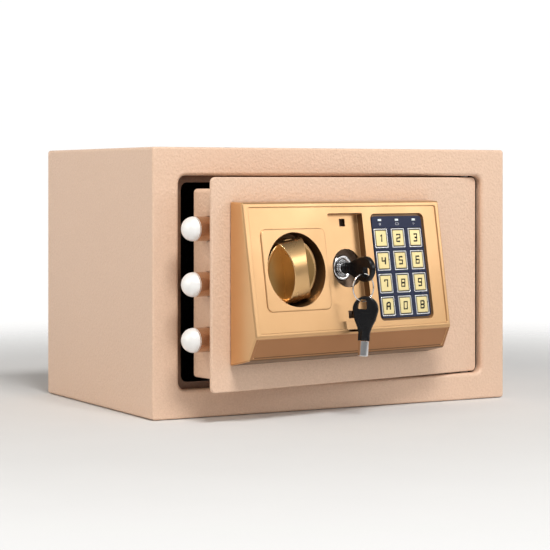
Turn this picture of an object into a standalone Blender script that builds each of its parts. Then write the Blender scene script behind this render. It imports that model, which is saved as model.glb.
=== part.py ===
"""A small electronic in-room safe with its door ajar, modelled in metres.

The origin is the centre of the body's base, +Z is up and the front faces -Y. Everything on the door is
placed as if the door were shut, and the door's empty then turns it to its resting angle.
"""

import math

import bmesh
import bpy
from mathutils import Matrix, Vector

MM = 0.001
GAP = 0.3 * MM

# Body
WIDTH, DEPTH, HEIGHT = 313 * MM, 203 * MM, 200 * MM
SHEET = 2 * MM
EDGE_RADIUS = 1.6 * MM
OPEN_HALF_WIDE, OPEN_HALF_TALL = 135 * MM, 79 * MM
LIP = 3 * MM
REBATE = 7.8 * MM
STOP_WIDTH, STOP_THICK = 5 * MM, 2.5 * MM
ANCHOR_RADIUS = 5 * MM
ANCHOR_SPACING = 160 * MM

# Door, as shut
FRONT = -DEPTH / 2
MID_Z = HEIGHT / 2
PLATE_LEFT, PLATE_RIGHT = -133.4 * MM, 131.6 * MM
PLATE_BOTTOM, PLATE_TOP = 22.2 * MM, 177.8 * MM
PLATE_THICK = 3 * MM
PLATE_FRONT = FRONT + 4 * MM
PLATE_BACK = PLATE_FRONT + PLATE_THICK
PIVOT_X, PIVOT_Y = 125.6 * MM, FRONT + 11 * MM
AJAR = math.radians(9.8)
BOX_INSET, BOX_BACK, BOX_SHEET = 8.5 * MM, FRONT + 38 * MM, 1.5 * MM
BATTERY_X, BATTERY_Z = 81 * MM, 78 * MM
COVER_WIDE, COVER_TALL = 59 * MM, 70 * MM
RESET_X, RESET_Z = 100 * MM, 141 * MM
PIN_RADIUS = 3 * MM

# Bolts and their carriage
BOLT_RADIUS, BOLT_PITCH = 9 * MM, 40.3 * MM
BOLT_Y, BOLT_TIP, BOLT_LENGTH = FRONT + 20.5 * MM, -146.4 * MM, 46.6 * MM
BOLT_TRAVEL, BOLT_DOME = 17 * MM, 8.4 * MM
CARRIAGE_Y, CARRIAGE_THICK = FRONT + 20.5 * MM, 3 * MM

# Control housing: its face leans back from a deep lower edge to a shallow top
HOUSE_LEFT, HOUSE_RIGHT = -117.3 * MM, 78.5 * MM
HOUSE_BOTTOM, HOUSE_TOP = 41 * MM, 160 * MM
FACE_TOP_Z, FACE_TOP_H = 159.3 * MM, 13 * MM
FACE_BOTTOM_Z, FACE_BOTTOM_H = 62.8 * MM, 28.6 * MM
CHIN_Z, CHIN_H = 45.5 * MM, 20.2 * MM
HOUSE_DRAFT = 0.07
HOUSE_WALL = 2.4 * MM
TILT = math.atan((FACE_BOTTOM_H - FACE_TOP_H) / (FACE_TOP_Z - FACE_BOTTOM_Z))
FACE_MID_Z = 110.5 * MM
FACE_MID_H = FACE_TOP_H + (FACE_TOP_Z - FACE_MID_Z) * math.tan(TILT)

# The sunk field of the face, inside its rim
FIELD_LEFT, FIELD_RIGHT, FIELD_BOTTOM, FIELD_TOP = -111 * MM, 73.4 * MM, 65.5 * MM, 155.8 * MM

# Knob
KNOB_X, KNOB_Z = -71.5 * MM, 109.1 * MM
WELL_Z = 110.3 * MM
WELL_RADIUS, WELL_FLOOR_H = 27.2 * MM, 4 * MM
KNOB_RADIUS, KNOB_BACK_H, KNOB_DISC_H, KNOB_TOP_H = 23.8 * MM, 4.6 * MM, 15 * MM, 26.5 * MM
GRIP_HALF, GRIP_SCOOP = 6.4 * MM, 54 * MM
KNOB_LEAN = math.radians(9)
KNOB_FRAME = 60.6 * MM
CAM_ARM = BOLT_TRAVEL / math.sqrt(2)

# Emergency lock and keys
STRIP_LEFT, STRIP_RIGHT, STRIP_BOTTOM_Z, STRIP_TOP_Z, STRIP_DEEP = (
    -36.3 * MM, -2.2 * MM, 71 * MM, 151 * MM, 7 * MM)
LOCK_X, LOCK_Z, LOCK_FRONT_H = -17.5 * MM, 109.6 * MM, 10 * MM
BARREL_RADIUS, PLUG_RADIUS, LOCK_HOLE_RADIUS = 9.75 * MM, 6 * MM, 14.4 * MM
KEY_TUBE_RADIUS, KEY_TUBE_BORE, KEY_TUBE_LENGTH, KEY_INSERTED = 3.9 * MM, 2.8 * MM, 11 * MM, 9.8 * MM
HEAD_LENGTH, HEAD_THICK, HEAD_RADIUS, NECK_RADIUS = 33 * MM, 4.4 * MM, 9.6 * MM, 4.6 * MM
RING_RADIUS, RING_WIRE = 10.2 * MM, 0.9 * MM
# The ring hole of a key head, as (across, along); it is on one side of the head's middle line.
HEAD_HOLE = [(x * MM, y * MM) for x, y in
             ((-6, 23.2), (1.2, 23.2), (1.2, 28.5), (0.3, 30.4), (-4.3, 30.4), (-6, 26.5))]
HOLE_LOW, HOLE_MID, HOLE_TOP = -6 * MM, -2.2 * MM, 30.4 * MM
RING_AT, RING_ASIDE = 25 * MM, 3.4 * MM
SPARE_TURN, SPARE_LEAN = math.radians(-54), math.radians(4.5)

# Keypad
PAD_X, PAD_Z = 33.1 * MM, 109.95 * MM
PAD_WIDE, PAD_TALL, PAD_DEEP = 54.5 * MM, 81.4 * MM, 3 * MM
OVERLAY_WIDE, OVERLAY_TALL, OVERLAY_THICK = 51.2 * MM, 77.8 * MM, 1 * MM
KEY_WIDE, KEY_TALL, KEY_PITCH_X, KEY_PITCH_V = 13.6 * MM, 15 * MM, 17.5 * MM, 17.3 * MM
KEY_ROW_TOP_V = 21.4 * MM
KEY_SUNK, KEY_DEEP = 1.7 * MM, 5.8 * MM
LED_V = 35.4 * MM

NAME = "in_room_safe"


# ---------------------------------------------------------------- scene and materials

def clear_scene():
    for obj in list(bpy.data.objects):
        bpy.data.objects.remove(obj, do_unlink=True)


def new_collection(name):
    made = bpy.data.collections.new(name)
    bpy.context.scene.collection.children.link(made)
    return made


def paint(name, colour, roughness, metallic=0.0):
    material = bpy.data.materials.new(name)
    material.use_nodes = True
    shader = material.node_tree.nodes["Principled BSDF"]
    shader.inputs["Base Color"].default_value = (*colour, 1.0)
    shader.inputs["Roughness"].default_value = roughness
    shader.inputs["Metallic"].default_value = metallic
    material.diffuse_color = (*colour, 1.0)
    return material


clear_scene()
PARTS = new_collection(NAME)
CUTTERS = new_collection(NAME + "_cutters")
COAT = paint("powder_coat", (0.83, 0.58, 0.43), 0.5, 0.1)
GOLD = paint("gold_plastic", (0.85, 0.6, 0.33), 0.35, 0.3)
STEEL = paint("zinc_steel", (0.55, 0.55, 0.56), 0.35, 1.0)
CHROME = paint("chrome", (0.8, 0.8, 0.8), 0.12, 1.0)
DARK = paint("dark_felt", (0.03, 0.03, 0.03), 0.9)
NAVY = paint("navy_label", (0.03, 0.04, 0.1), 0.35)
BLACK = paint("black_plastic", (0.02, 0.02, 0.02), 0.35)
RED = paint("red_plastic", (0.6, 0.03, 0.03), 0.4)
GREEN = paint("circuit_green", (0.03, 0.2, 0.08), 0.5)
CELL = paint("cell_jacket", (0.1, 0.12, 0.15), 0.35, 0.5)
CLEAR = paint("lens", (0.85, 0.85, 0.82), 0.2)


# ---------------------------------------------------------------- frames

# In the plate frame x is world X, y is world Z and z points out of the door, from the plate's face.
PLATE = Matrix.Translation((0, PLATE_FRONT, 0)) @ Matrix.Rotation(math.pi / 2, 4, "X")
# In the face frame z points out of the leaning face and y runs up its slope from its middle.
FACE = (Matrix.Translation((0, PLATE_FRONT - FACE_MID_H, FACE_MID_Z))
        @ Matrix.Rotation(math.pi / 2 - TILT, 4, "X"))


def face_v(z):
    """The face frame's y of a world height on the face."""
    return (z - FACE_MID_Z) / math.cos(TILT)


def pivot(name, place, parent=None):
    """An empty on a joint's axis; its place is given as if the door were shut."""
    empty = bpy.data.objects.new(name, None)
    PARTS.objects.link(empty)
    empty.location = place
    if parent:
        empty.parent = parent
        empty.matrix_parent_inverse = Matrix.Translation(-Vector(parent["shut"]))
    empty["shut"] = tuple(place)
    return empty


# ---------------------------------------------------------------- outlines

def arc(cx, cy, rx, ry, start, end, steps):
    """Points along an elliptical arc, both ends included, with the angles in degrees."""
    turns = [math.radians(start + (end - start) * i / steps) for i in range(steps + 1)]
    return [(cx + rx * math.cos(t), cy + ry * math.sin(t)) for t in turns]


def rounded(cx, cy, wide, tall, radius, steps=3):
    """A rectangle with round corners, anticlockwise."""
    x, y = wide / 2 - radius, tall / 2 - radius
    corners = ((x, y, 0), (-x, y, 90), (-x, -y, 180), (x, -y, 270))
    return [p for dx, dy, turn in corners
            for p in arc(cx + dx, cy + dy, radius, radius, turn, turn + 90, steps)]


def ring_of(cx, cy, radius, count=24, stretch=1.0):
    return arc(cx, cy, radius, radius * stretch, 0, 360 * (count - 1) / count, count - 1)


# ---------------------------------------------------------------- shapes

def loft(sections, closed=False):
    """A skin through sections of equal point counts, capped at both ends or closed on itself."""
    bm = bmesh.new()
    loops = [[bm.verts.new(p) for p in section] for section in sections]
    count = len(loops[0])
    pairs = list(zip(loops, loops[1:] + ([loops[0]] if closed else [])))
    for low, high in pairs:
        for i in range(count):
            j = (i + 1) % count
            bm.faces.new((low[i], low[j], high[j], high[i]))
    if not closed:
        bm.faces.new(list(reversed(loops[0])))
        bm.faces.new(loops[-1])
    bmesh.ops.recalc_face_normals(bm, faces=bm.faces)
    return bm


def box(low, high):
    centre = [(a + b) / 2 for a, b in zip(low, high)]
    size = [b - a for a, b in zip(low, high)]
    bm = bmesh.new()
    bmesh.ops.create_cube(bm, size=1, matrix=Matrix.Translation(centre) @ Matrix.Diagonal((*size, 1)))
    return bm


def rod(frame, x, y, low, high, radius, sides=24, top_radius=None):
    """A cylinder or cone along the frame's z, from low to high."""
    bm = bmesh.new()
    place = frame @ Matrix.Translation((x, y, (low + high) / 2))
    bmesh.ops.create_cone(bm, cap_ends=True, segments=sides, radius1=radius,
                          radius2=radius if top_radius is None else top_radius,
                          depth=high - low, matrix=place)
    return bm


def slab(loops, low, high, frame):
    """A flat outline with holes, extruded along the frame's z from low to high."""
    curve = bpy.data.curves.new("outline", "CURVE")
    curve.dimensions = "2D"
    curve.fill_mode = "BOTH"
    curve.extrude = (high - low) / 2
    for loop in loops:
        spline = curve.splines.new("POLY")
        spline.points.add(len(loop) - 1)
        for point, (x, y) in zip(spline.points, loop):
            point.co = (x, y, 0, 1)
        spline.use_cyclic_u = True
    guide = bpy.data.objects.new("outline", curve)
    bpy.context.scene.collection.objects.link(guide)
    bpy.context.view_layer.update()
    mesh = bpy.data.meshes.new_from_object(guide.evaluated_get(bpy.context.evaluated_depsgraph_get()))
    bm = bmesh.new()
    bm.from_mesh(mesh)
    bmesh.ops.remove_doubles(bm, verts=bm.verts, dist=1e-6)
    bmesh.ops.transform(bm, matrix=frame @ Matrix.Translation((0, 0, (low + high) / 2)), verts=bm.verts)
    bmesh.ops.recalc_face_normals(bm, faces=bm.faces)
    bpy.data.objects.remove(guide)
    bpy.data.curves.remove(curve)
    bpy.data.meshes.remove(mesh)
    return bm


def tube(frame, x, y, profile, sides=20):
    """A turned ring: profile is a closed loop of (radius, height) about the frame's z at x, y."""
    turns = [2 * math.pi * i / sides for i in range(sides)]
    return loft([[frame @ Vector((x + r * math.cos(t), y + r * math.sin(t), h)) for t in turns]
                 for r, h in profile], closed=True)


def pocket(outline, deep, lip, frame, clear=6 * MM):
    """A cutter for a pocket with a rounded mouth. outline(grow) gives the loop grown outwards by grow."""
    levels = [(0.0, -deep), (0.0, -lip), (0.3 * lip, -0.3 * lip), (lip, 0.0), (lip, clear)]
    return loft([[frame @ Vector((x, y, z)) for x, y in outline(grow)] for grow, z in levels])


# ---------------------------------------------------------------- objects

def add(name, bm, material, body=None, origin=None, smooth=True):
    """A named part from a mesh placed in the world as if the door were shut."""
    origin = Vector(origin if origin is not None else (body["shut"] if body else (0, 0, 0)))
    bmesh.ops.translate(bm, vec=-origin, verts=bm.verts)
    mesh = bpy.data.meshes.new(name)
    bm.to_mesh(mesh)
    bm.free()
    if smooth:
        mesh.shade_smooth()
        mesh.set_sharp_from_angle(angle=math.radians(35))
    mesh.materials.append(material)
    obj = bpy.data.objects.new(name, mesh)
    PARTS.objects.link(obj)
    obj.location = origin
    if body:
        obj.parent = body
        obj.matrix_parent_inverse = Matrix.Translation(-Vector(body["shut"]))
    return obj


def helper(name, bm, body=None):
    """A hidden shape that cuts or joins another."""
    obj = add(name, bm, STEEL, body, smooth=False)
    PARTS.objects.unlink(obj)
    CUTTERS.objects.link(obj)
    obj.hide_render = True
    obj.display_type = "WIRE"
    return obj


def combine(obj, other, operation="DIFFERENCE"):
    modifier = obj.modifiers.new(operation.lower(), "BOOLEAN")
    modifier.operation = operation
    modifier.solver = "EXACT"
    modifier.object = other


def bevel(obj, width, segments=2, angle=40):
    modifier = obj.modifiers.new("bevel", "BEVEL")
    modifier.width = width
    modifier.segments = segments
    modifier.limit_method = "ANGLE"
    modifier.angle_limit = math.radians(angle)


def turned(name, profile, frame, x, y, material, body, steps=24):
    """A turned piece: profile is (radius, height) down its outer side, about the frame's z at x, y."""
    mesh = bpy.data.meshes.new(name)
    mesh.from_pydata([(r, 0, h) for r, h in profile], [(i, i + 1) for i in range(len(profile) - 1)], [])
    mesh.materials.append(material)
    obj = bpy.data.objects.new(name, mesh)
    PARTS.objects.link(obj)
    if body:
        obj.parent = body
        obj.matrix_parent_inverse = Matrix.Translation(-Vector(body["shut"]))
    obj.matrix_basis = frame @ Matrix.Translation((x, y, 0))
    screw = obj.modifiers.new("screw", "SCREW")
    screw.steps = steps
    screw.render_steps = steps
    screw.use_merge_vertices = True
    screw.merge_threshold = 0.00001
    return obj


# ---------------------------------------------------------------- body

def rect_loop(half_wide, half_tall, radius, y, cx=0.0, steps=3):
    return [Vector((cx + px, y, MID_Z + pz))
            for px, pz in rounded(0, 0, 2 * half_wide, 2 * half_tall, radius, steps)]


def body_shell():
    """The wrapped case: outer walls, front border, rolled lip and rebate, all one sheet."""
    hw, hh = WIDTH / 2, HEIGHT / 2
    ow, oh = OPEN_HALF_WIDE, OPEN_HALF_TALL
    back = DEPTH / 2
    edge, corner, mouth_corner, bend = EDGE_RADIUS, 2.5 * MM, 6 * MM, 0.8 * MM
    inner = LIP - SHEET
    rows = [(hw, hh, corner, back)]
    for px, py in arc(0, 0, edge, edge, 0, 90, 2):
        shrink = edge - px
        rows.append((hw - shrink, hh - shrink, corner - shrink, FRONT + edge - py))
    for px, py in arc(0, 0, LIP, LIP, 90, 0, 3):
        grow = LIP - px
        rows.append((ow + grow, oh + grow, mouth_corner + grow, FRONT + LIP - py))
    rows.append((ow, oh, mouth_corner, FRONT + REBATE))
    rows.append((ow + SHEET, oh + SHEET, mouth_corner + SHEET, FRONT + REBATE))
    for px, py in arc(0, 0, inner, inner, 0, 90, 1):
        grow = LIP - px
        rows.append((ow + grow, oh + grow, mouth_corner + grow, FRONT + LIP - py))
    rows.append((hw - SHEET, hh - SHEET, bend, FRONT + SHEET))
    rows.append((hw - SHEET, hh - SHEET, bend, back))
    case = add("body_shell", loft([rect_loop(*row) for row in rows], closed=True), COAT)
    for side in (-1, 1):
        hole = rod(Matrix.Identity(4), side * ANCHOR_SPACING / 2, 10 * MM, -5 * MM, 8 * MM, ANCHOR_RADIUS, 16)
        combine(case, helper("base_anchor_cutter", hole))


def back_panel():
    back_frame = Matrix.Translation((0, DEPTH / 2, 0)) @ Matrix.Rotation(math.pi / 2, 4, "X")
    outline = rounded(0, MID_Z, WIDTH - 2 * SHEET - 2 * GAP, HEIGHT - 2 * SHEET - 2 * GAP, 1 * MM, 1)
    holes = [ring_of(side * ANCHOR_SPACING / 2, MID_Z, ANCHOR_RADIUS, 16) for side in (-1, 1)]
    add("back_panel", slab([outline] + holes, 0, SHEET, back_frame), COAT)


def floor_mat():
    low = (-WIDTH / 2 + SHEET + 1 * MM, FRONT + 14 * MM, SHEET + GAP)
    high = (WIDTH / 2 - SHEET - 1 * MM, DEPTH / 2 - 4 * MM, SHEET + GAP + 2.5 * MM)
    mat = add("floor_mat", box(low, high), DARK)
    bevel(mat, 0.8 * MM, 1)


def door_stop_frame():
    """The flange behind the rebate that the bolts hook behind; the hinge side has none."""
    ow, oh = OPEN_HALF_WIDE, OPEN_HALF_TALL
    left_out, left_in = -ow - 1.5 * MM, -ow + STOP_WIDTH
    out, inn = oh + 1.5 * MM, oh - STOP_WIDTH
    right = 110 * MM
    outline = [(right, MID_Z + out), (left_out, MID_Z + out), (left_out, MID_Z - out), (right, MID_Z - out),
               (right, MID_Z - inn)]
    outline += arc(left_in + 5 * MM, MID_Z - inn + 5 * MM, 5 * MM, 5 * MM, 270, 180, 3)
    outline += arc(left_in + 5 * MM, MID_Z + inn - 5 * MM, 5 * MM, 5 * MM, 180, 90, 3)
    outline += [(right, MID_Z + inn)]
    near = -(REBATE - 4 * MM + GAP)
    add("door_stop_frame", slab([outline], near - STOP_THICK, near, PLATE), COAT)


def hinge_hardware():
    """Two angle brackets behind the front border, each with a headed pin."""
    side_frame = Matrix.Translation((131 * MM, 0, 0)) @ Matrix.Rotation(math.pi / 2, 4, "Y") \
        @ Matrix.Rotation(math.pi / 2, 4, "Z")
    for name, flip in (("upper", 1), ("lower", -1)):
        def z(height):
            return MID_Z + flip * (height - MID_Z)
        y0, y1 = FRONT + 2.3 * MM, FRONT + 21 * MM
        outline = [(y0, z(182.4 * MM)), (y1, z(182.4 * MM)), (y1, z(185 * MM)), (y0 + 2.6 * MM, z(185 * MM)),
                   (y0 + 2.6 * MM, z(196.5 * MM)), (y0, z(196.5 * MM))]
        bracket = add("hinge_bracket_" + name, slab([outline], -17 * MM, 17 * MM, side_frame), STEEL)
        low, high = sorted((z(175 * MM), z(190 * MM)))
        upright = Matrix.Translation((PIVOT_X, PIVOT_Y, 0))
        hole = rod(upright, 0, 0, low, high, PIN_RADIUS + 0.12 * MM, 20)
        combine(bracket, helper("bracket_cutter_" + name, hole))
        profile = [(0, 188 * MM), (4 * MM, 188 * MM), (4.6 * MM, 187.4 * MM), (4.6 * MM, 185.3 * MM),
                   (PIN_RADIUS, 185.3 * MM), (PIN_RADIUS, 171.5 * MM), (PIN_RADIUS - 0.8 * MM, 170.7 * MM),
                   (0, 170.7 * MM)]
        points = [(r, z(h)) for r, h in profile]
        if flip < 0:
            points.reverse()
        turned("hinge_pin_" + name, points, upright, 0, 0, STEEL, None, 20)


# ---------------------------------------------------------------- door

def door_plate():
    outline = rounded((PLATE_LEFT + PLATE_RIGHT) / 2, MID_Z, PLATE_RIGHT - PLATE_LEFT,
                      PLATE_TOP - PLATE_BOTTOM, 4 * MM, 4)
    knob_hole = ring_of(KNOB_X, KNOB_Z, 4.6 * MM, 16)
    lock_hole = ring_of(LOCK_X, LOCK_Z, BARREL_RADIUS + GAP, 24)
    plate = add("door_plate", slab([outline, knob_hole, lock_hole], -PLATE_THICK, 0, PLATE), COAT, DOOR)
    bevel(plate, 0.7 * MM, 2, 60)
    for name, flip in (("upper", 1), ("lower", -1)):
        low, high = sorted((MID_Z + flip * 73.2 * MM, MID_Z + flip * 76.2 * MM))
        lug = helper("lug_" + name, box((119.8 * MM, PLATE_BACK - 1 * MM, low),
                                        (130.8 * MM, PIVOT_Y + 5.5 * MM, high)), DOOR)
        combine(plate, lug, "UNION")
        upright = Matrix.Translation((PIVOT_X, PIVOT_Y, 0))
        hole = rod(upright, 0, 0, low - 2 * MM, high + 2 * MM, PIN_RADIUS + 0.12 * MM, 20)
        combine(plate, helper("lug_hole_" + name, hole, DOOR))


def bolt_heights():
    return [MID_Z + i * BOLT_PITCH for i in (1, 0, -1)]


def door_box():
    cx = (PLATE_LEFT + PLATE_RIGHT) / 2
    hw = (PLATE_RIGHT - PLATE_LEFT) / 2 - BOX_INSET
    hh = (PLATE_TOP - PLATE_BOTTOM) / 2 - BOX_INSET
    near = PLATE_BACK + GAP
    rows = [(hw, hh, 3 * MM, near), (hw, hh, 3 * MM, BOX_BACK - 0.8 * MM),
            (hw - 0.6 * MM, hh - 0.6 * MM, 2.5 * MM, BOX_BACK),
            (hw - BOX_SHEET, hh - BOX_SHEET, 1.5 * MM, BOX_BACK),
            (hw - BOX_SHEET, hh - BOX_SHEET, 1.5 * MM, near)]
    skin = add("door_box", loft([rect_loop(*row, cx=cx) for row in rows], closed=True), COAT, DOOR)
    for i, height in enumerate(bolt_heights()):
        sideways = Matrix.Translation((0, BOLT_Y, height)) @ Matrix.Rotation(math.pi / 2, 4, "Y")
        hole = rod(sideways, 0, 0, cx - hw - 3 * MM, cx - hw + 4 * MM, BOLT_RADIUS + GAP, 24)
        combine(skin, helper(f"bolt_hole_{i}", hole, DOOR))


def rear_cover():
    """The panel that closes the back of the door, with its battery window and reset hole."""
    cx = (PLATE_LEFT + PLATE_RIGHT) / 2
    wide = PLATE_RIGHT - PLATE_LEFT - 2 * (BOX_INSET + BOX_SHEET + GAP)
    tall = PLATE_TOP - PLATE_BOTTOM - 2 * (BOX_INSET + BOX_SHEET + GAP)
    across, up = wide / 2 - 7 * MM, tall / 2 - 7 * MM
    screws = [(cx + sx * across, MID_Z + sz * up) for sx in (-1, 1) for sz in (-1, 1)]
    back = PLATE_FRONT - BOX_BACK
    cover_high = back + 2.6 * MM
    cover_low = cover_high - 1.6 * MM
    window = rounded(BATTERY_X, BATTERY_Z, COVER_WIDE - 6 * MM, COVER_TALL - 6 * MM, 2 * MM, 2)
    loops = [rounded(cx, MID_Z, wide, tall, 1.2 * MM, 2), window, ring_of(RESET_X, RESET_Z, 3.6 * MM, 16)]
    loops += [ring_of(x, z, 1.8 * MM, 12) for x, z in screws]
    add("rear_cover", slab(loops, cover_low, cover_high, PLATE), STEEL, DOOR)
    for i, (x, z) in enumerate(screws):
        profile = [(0, cover_high + 8 * MM), (1.4 * MM, cover_high + 8 * MM), (1.4 * MM, cover_low - GAP),
                   (3 * MM, cover_low - GAP), (2.6 * MM, cover_low - 1.5 * MM), (0, cover_low - 1.7 * MM)]
        turned(f"cover_screw_{i + 1}", profile, PLATE, x, z, STEEL, DOOR, 12)


def battery_bay():
    """An open tray with four AA cells lying across it, behind a cover that slides down."""
    back = PLATE_FRONT - BOX_BACK
    mid_x, mid_z, wide, tall = BATTERY_X, BATTERY_Z, 56 * MM, 66.5 * MM
    mouth, floor = back + 3 * MM, back + 20 * MM
    wall = 1.4 * MM
    rows = [(wide - 2 * wall, tall - 2 * wall, floor - wall), (wide - 2 * wall, tall - 2 * wall, mouth),
            (wide, tall, mouth), (wide, tall, floor)]
    bm = loft([[PLATE @ Vector((x, y, h)) for x, y in rounded(mid_x, mid_z, w, t, 1.5 * MM, 2)]
               for w, t, h in rows])
    add("battery_tray", bm, BLACK, DOOR)
    radius, pitch = 7.2 * MM, 15.2 * MM
    for i in range(4):
        z = mid_z + (1.5 - i) * pitch
        flip = 1 if i % 2 else -1
        lying = Matrix.Translation((mid_x, PLATE_FRONT - (floor - wall - radius - 0.6 * MM), z)) \
            @ Matrix.Rotation(flip * math.pi / 2, 4, "Y")
        profile = [(0, 25.2 * MM), (2.7 * MM, 25.2 * MM), (2.7 * MM, 24 * MM), (6.8 * MM, 24 * MM),
                   (radius, 23.4 * MM), (radius, -24.6 * MM), (6.6 * MM, -25.2 * MM), (0, -25.2 * MM)]
        turned(f"battery_{i + 1}", profile, lying, 0, 0, CELL, DOOR, 16)
    low = back + 1 * MM - GAP
    outline = rounded(mid_x, mid_z, COVER_WIDE, COVER_TALL, 3 * MM, 3)
    cover = add("battery_cover", slab([outline], low - 1.8 * MM, low, PLATE), BLACK, BATTERY_SLIDE)
    bevel(cover, 0.5 * MM, 1, 60)
    for i in range(3):
        z = mid_z + 24 * MM + i * 3 * MM
        ridge = box((mid_x - 9 * MM, BOX_BACK + 0.5 * MM, z),
                    (mid_x + 9 * MM, BOX_BACK + 1.7 * MM, z + 1.2 * MM))
        combine(cover, helper(f"cover_rib_{i}", ridge, BATTERY_SLIDE), "UNION")


def reset_button():
    back = PLATE_FRONT - BOX_BACK
    flange, stem = 4.6 * MM, 3 * MM
    profile = [(0, back + 9 * MM), (flange, back + 9 * MM), (flange, back + 4.8 * MM),
               (stem, back + 4.8 * MM), (stem, back - 0.4 * MM), (stem - 0.6 * MM, back - 1 * MM),
               (0, back - 1.2 * MM)]
    turned("reset_button", profile, PLATE, RESET_X, RESET_Z, RED, RESET, 16)


# ---------------------------------------------------------------- bolt works

def bolt_work():
    for i, height in enumerate(bolt_heights()):
        sideways = Matrix.Translation((0, BOLT_Y, height)) @ Matrix.Rotation(math.pi / 2, 4, "Y")
        tip, tail = BOLT_TIP, BOLT_TIP + BOLT_LENGTH
        profile = [(0, tail), (BOLT_RADIUS, tail), (BOLT_RADIUS, tip + BOLT_DOME)]
        profile += [(BOLT_RADIUS - BOLT_DOME + r, tip + BOLT_DOME - h)
                    for r, h in arc(0, 0, BOLT_DOME, BOLT_DOME, 15, 90, 5)]
        profile += [(0, tip)]
        turned(f"lock_bolt_{i + 1}", profile, sideways, 0, 0, CHROME, BOLTS)
    left = BOLT_TIP + BOLT_LENGTH + GAP
    bar = left + 11 * MM
    pin_x, pin_z = KNOB_X - BOLT_TRAVEL / 2, KNOB_Z + CAM_ARM * math.cos(math.radians(45))
    arm_low, arm_high = LOCK_Z - 27.5 * MM, LOCK_Z - 19 * MM
    notch_low, notch_high, notch_half = arm_low, arm_low + 5 * MM, 3.4 * MM
    end = LOCK_X + 9 * MM
    outline = [(left, 50 * MM), (bar, 50 * MM), (bar, arm_low), (LOCK_X - notch_half, arm_low),
               (LOCK_X - notch_half, notch_high), (LOCK_X + notch_half, notch_high),
               (LOCK_X + notch_half, notch_low), (end, arm_low), (end, arm_high), (bar, arm_high),
               (bar, pin_z - 7 * MM), (pin_x + 7.5 * MM, pin_z - 7 * MM), (pin_x + 7.5 * MM, pin_z + 11 * MM),
               (bar, pin_z + 11 * MM), (bar, 150 * MM), (left, 150 * MM)]
    slot = rounded(pin_x, pin_z + 1.7 * MM, 7.1 * MM, 12.6 * MM, 3.5 * MM, 3)
    near = PLATE_FRONT - CARRIAGE_Y - CARRIAGE_THICK / 2
    add("bolt_carriage", slab([outline, slot], near, near + CARRIAGE_THICK, PLATE), STEEL, BOLTS)


def knob_work():
    """The knob with its waisted grip, its spindle and the cam that drives the carriage."""
    knob_frame = PLATE @ Matrix.Translation((KNOB_X, KNOB_Z, 0)) @ Matrix.Rotation(KNOB_LEAN, 4, "Z")
    disc = add("knob", rod(knob_frame, 0, 0, KNOB_BACK_H, KNOB_DISC_H, KNOB_RADIUS, 40), GOLD, KNOB)
    bevel(disc, 1 * MM, 2, 60)
    rise = KNOB_TOP_H - KNOB_DISC_H
    reach = KNOB_RADIUS - 1 * MM
    across = arc(0, 0, reach, rise, 0, 180, 14)
    foot = KNOB_DISC_H - 3 * MM
    profile = [(y, KNOB_DISC_H + h) for y, h in across] + [(-reach, foot), (reach, foot)]

    def waist(y):
        # The flanks are scooped in towards the middle of the grip.
        return GRIP_HALF + GRIP_SCOOP - math.sqrt(GRIP_SCOOP ** 2 - y ** 2)
    grip = loft([[knob_frame @ Vector((side * waist(y), y, h)) for y, h in profile] for side in (-1, 1)])
    combine(disc, helper("knob_grip", grip, KNOB), "UNION")
    back = PLATE_FRONT - CARRIAGE_Y + CARRIAGE_THICK / 2
    spindle = 4 * MM
    profile = [(0, KNOB_BACK_H - GAP), (spindle, KNOB_BACK_H - GAP), (spindle, back + 3.6 * MM),
               (0, back + 3.6 * MM)]
    turned("knob_spindle", profile, PLATE, KNOB_X, KNOB_Z, STEEL, KNOB, 16)
    angle = math.radians(135)
    px, pz = KNOB_X + CAM_ARM * math.cos(angle), KNOB_Z + CAM_ARM * math.sin(angle)
    side = Vector((math.sin(angle), -math.cos(angle)))
    hub, tip = 7 * MM, 4.6 * MM
    turn = math.degrees(angle)
    outline = arc(KNOB_X, KNOB_Z, hub, hub, turn + 90, turn + 270, 8)
    outline += arc(px, pz, tip, tip, turn - 90, turn + 90, 6)
    cam = add("spindle_cam", slab([outline], back + 0.8 * MM, back + 3.2 * MM, PLATE), STEEL, KNOB)
    stud = helper("cam_stud", rod(PLATE, px, pz, back - 3 * MM, back + 2 * MM, 3 * MM, 16), KNOB)
    combine(cam, stud, "UNION")


# ---------------------------------------------------------------- control housing

def house_outline():
    """The housing's side profile as (height out of the plate, world z), from the foot round to the top."""
    return [(GAP, HOUSE_BOTTOM), (CHIN_H, CHIN_Z), (FACE_BOTTOM_H, FACE_BOTTOM_Z), (FACE_TOP_H, FACE_TOP_Z),
            (GAP, HOUSE_TOP)]


def house_body(shrink):
    """The wedge itself, or with shrink its hollow, open at the back."""
    sections = []
    for side, edge in ((1, HOUSE_LEFT), (-1, HOUSE_RIGHT)):
        row = []
        for h, z in house_outline():
            inward = 0.0 if z > MID_Z else 1.0
            dz = shrink if z < MID_Z else -shrink
            height = -3 * MM if shrink and h == GAP else h - shrink * (1.25 if inward else 1.05)
            row.append(PLATE @ Vector((edge + side * (shrink + HOUSE_DRAFT * h), z + dz, height)))
        sections.append(row)
    return loft(sections)


def face_rect(x0, x1, z0, z1, radius, steps=3):
    def outline(grow):
        v0, v1 = face_v(z0), face_v(z1)
        wide, tall = x1 - x0 + 2 * grow, v1 - v0 + 2 * grow
        return rounded((x0 + x1) / 2, (v0 + v1) / 2, wide, tall, radius + grow, steps)
    return outline


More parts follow.
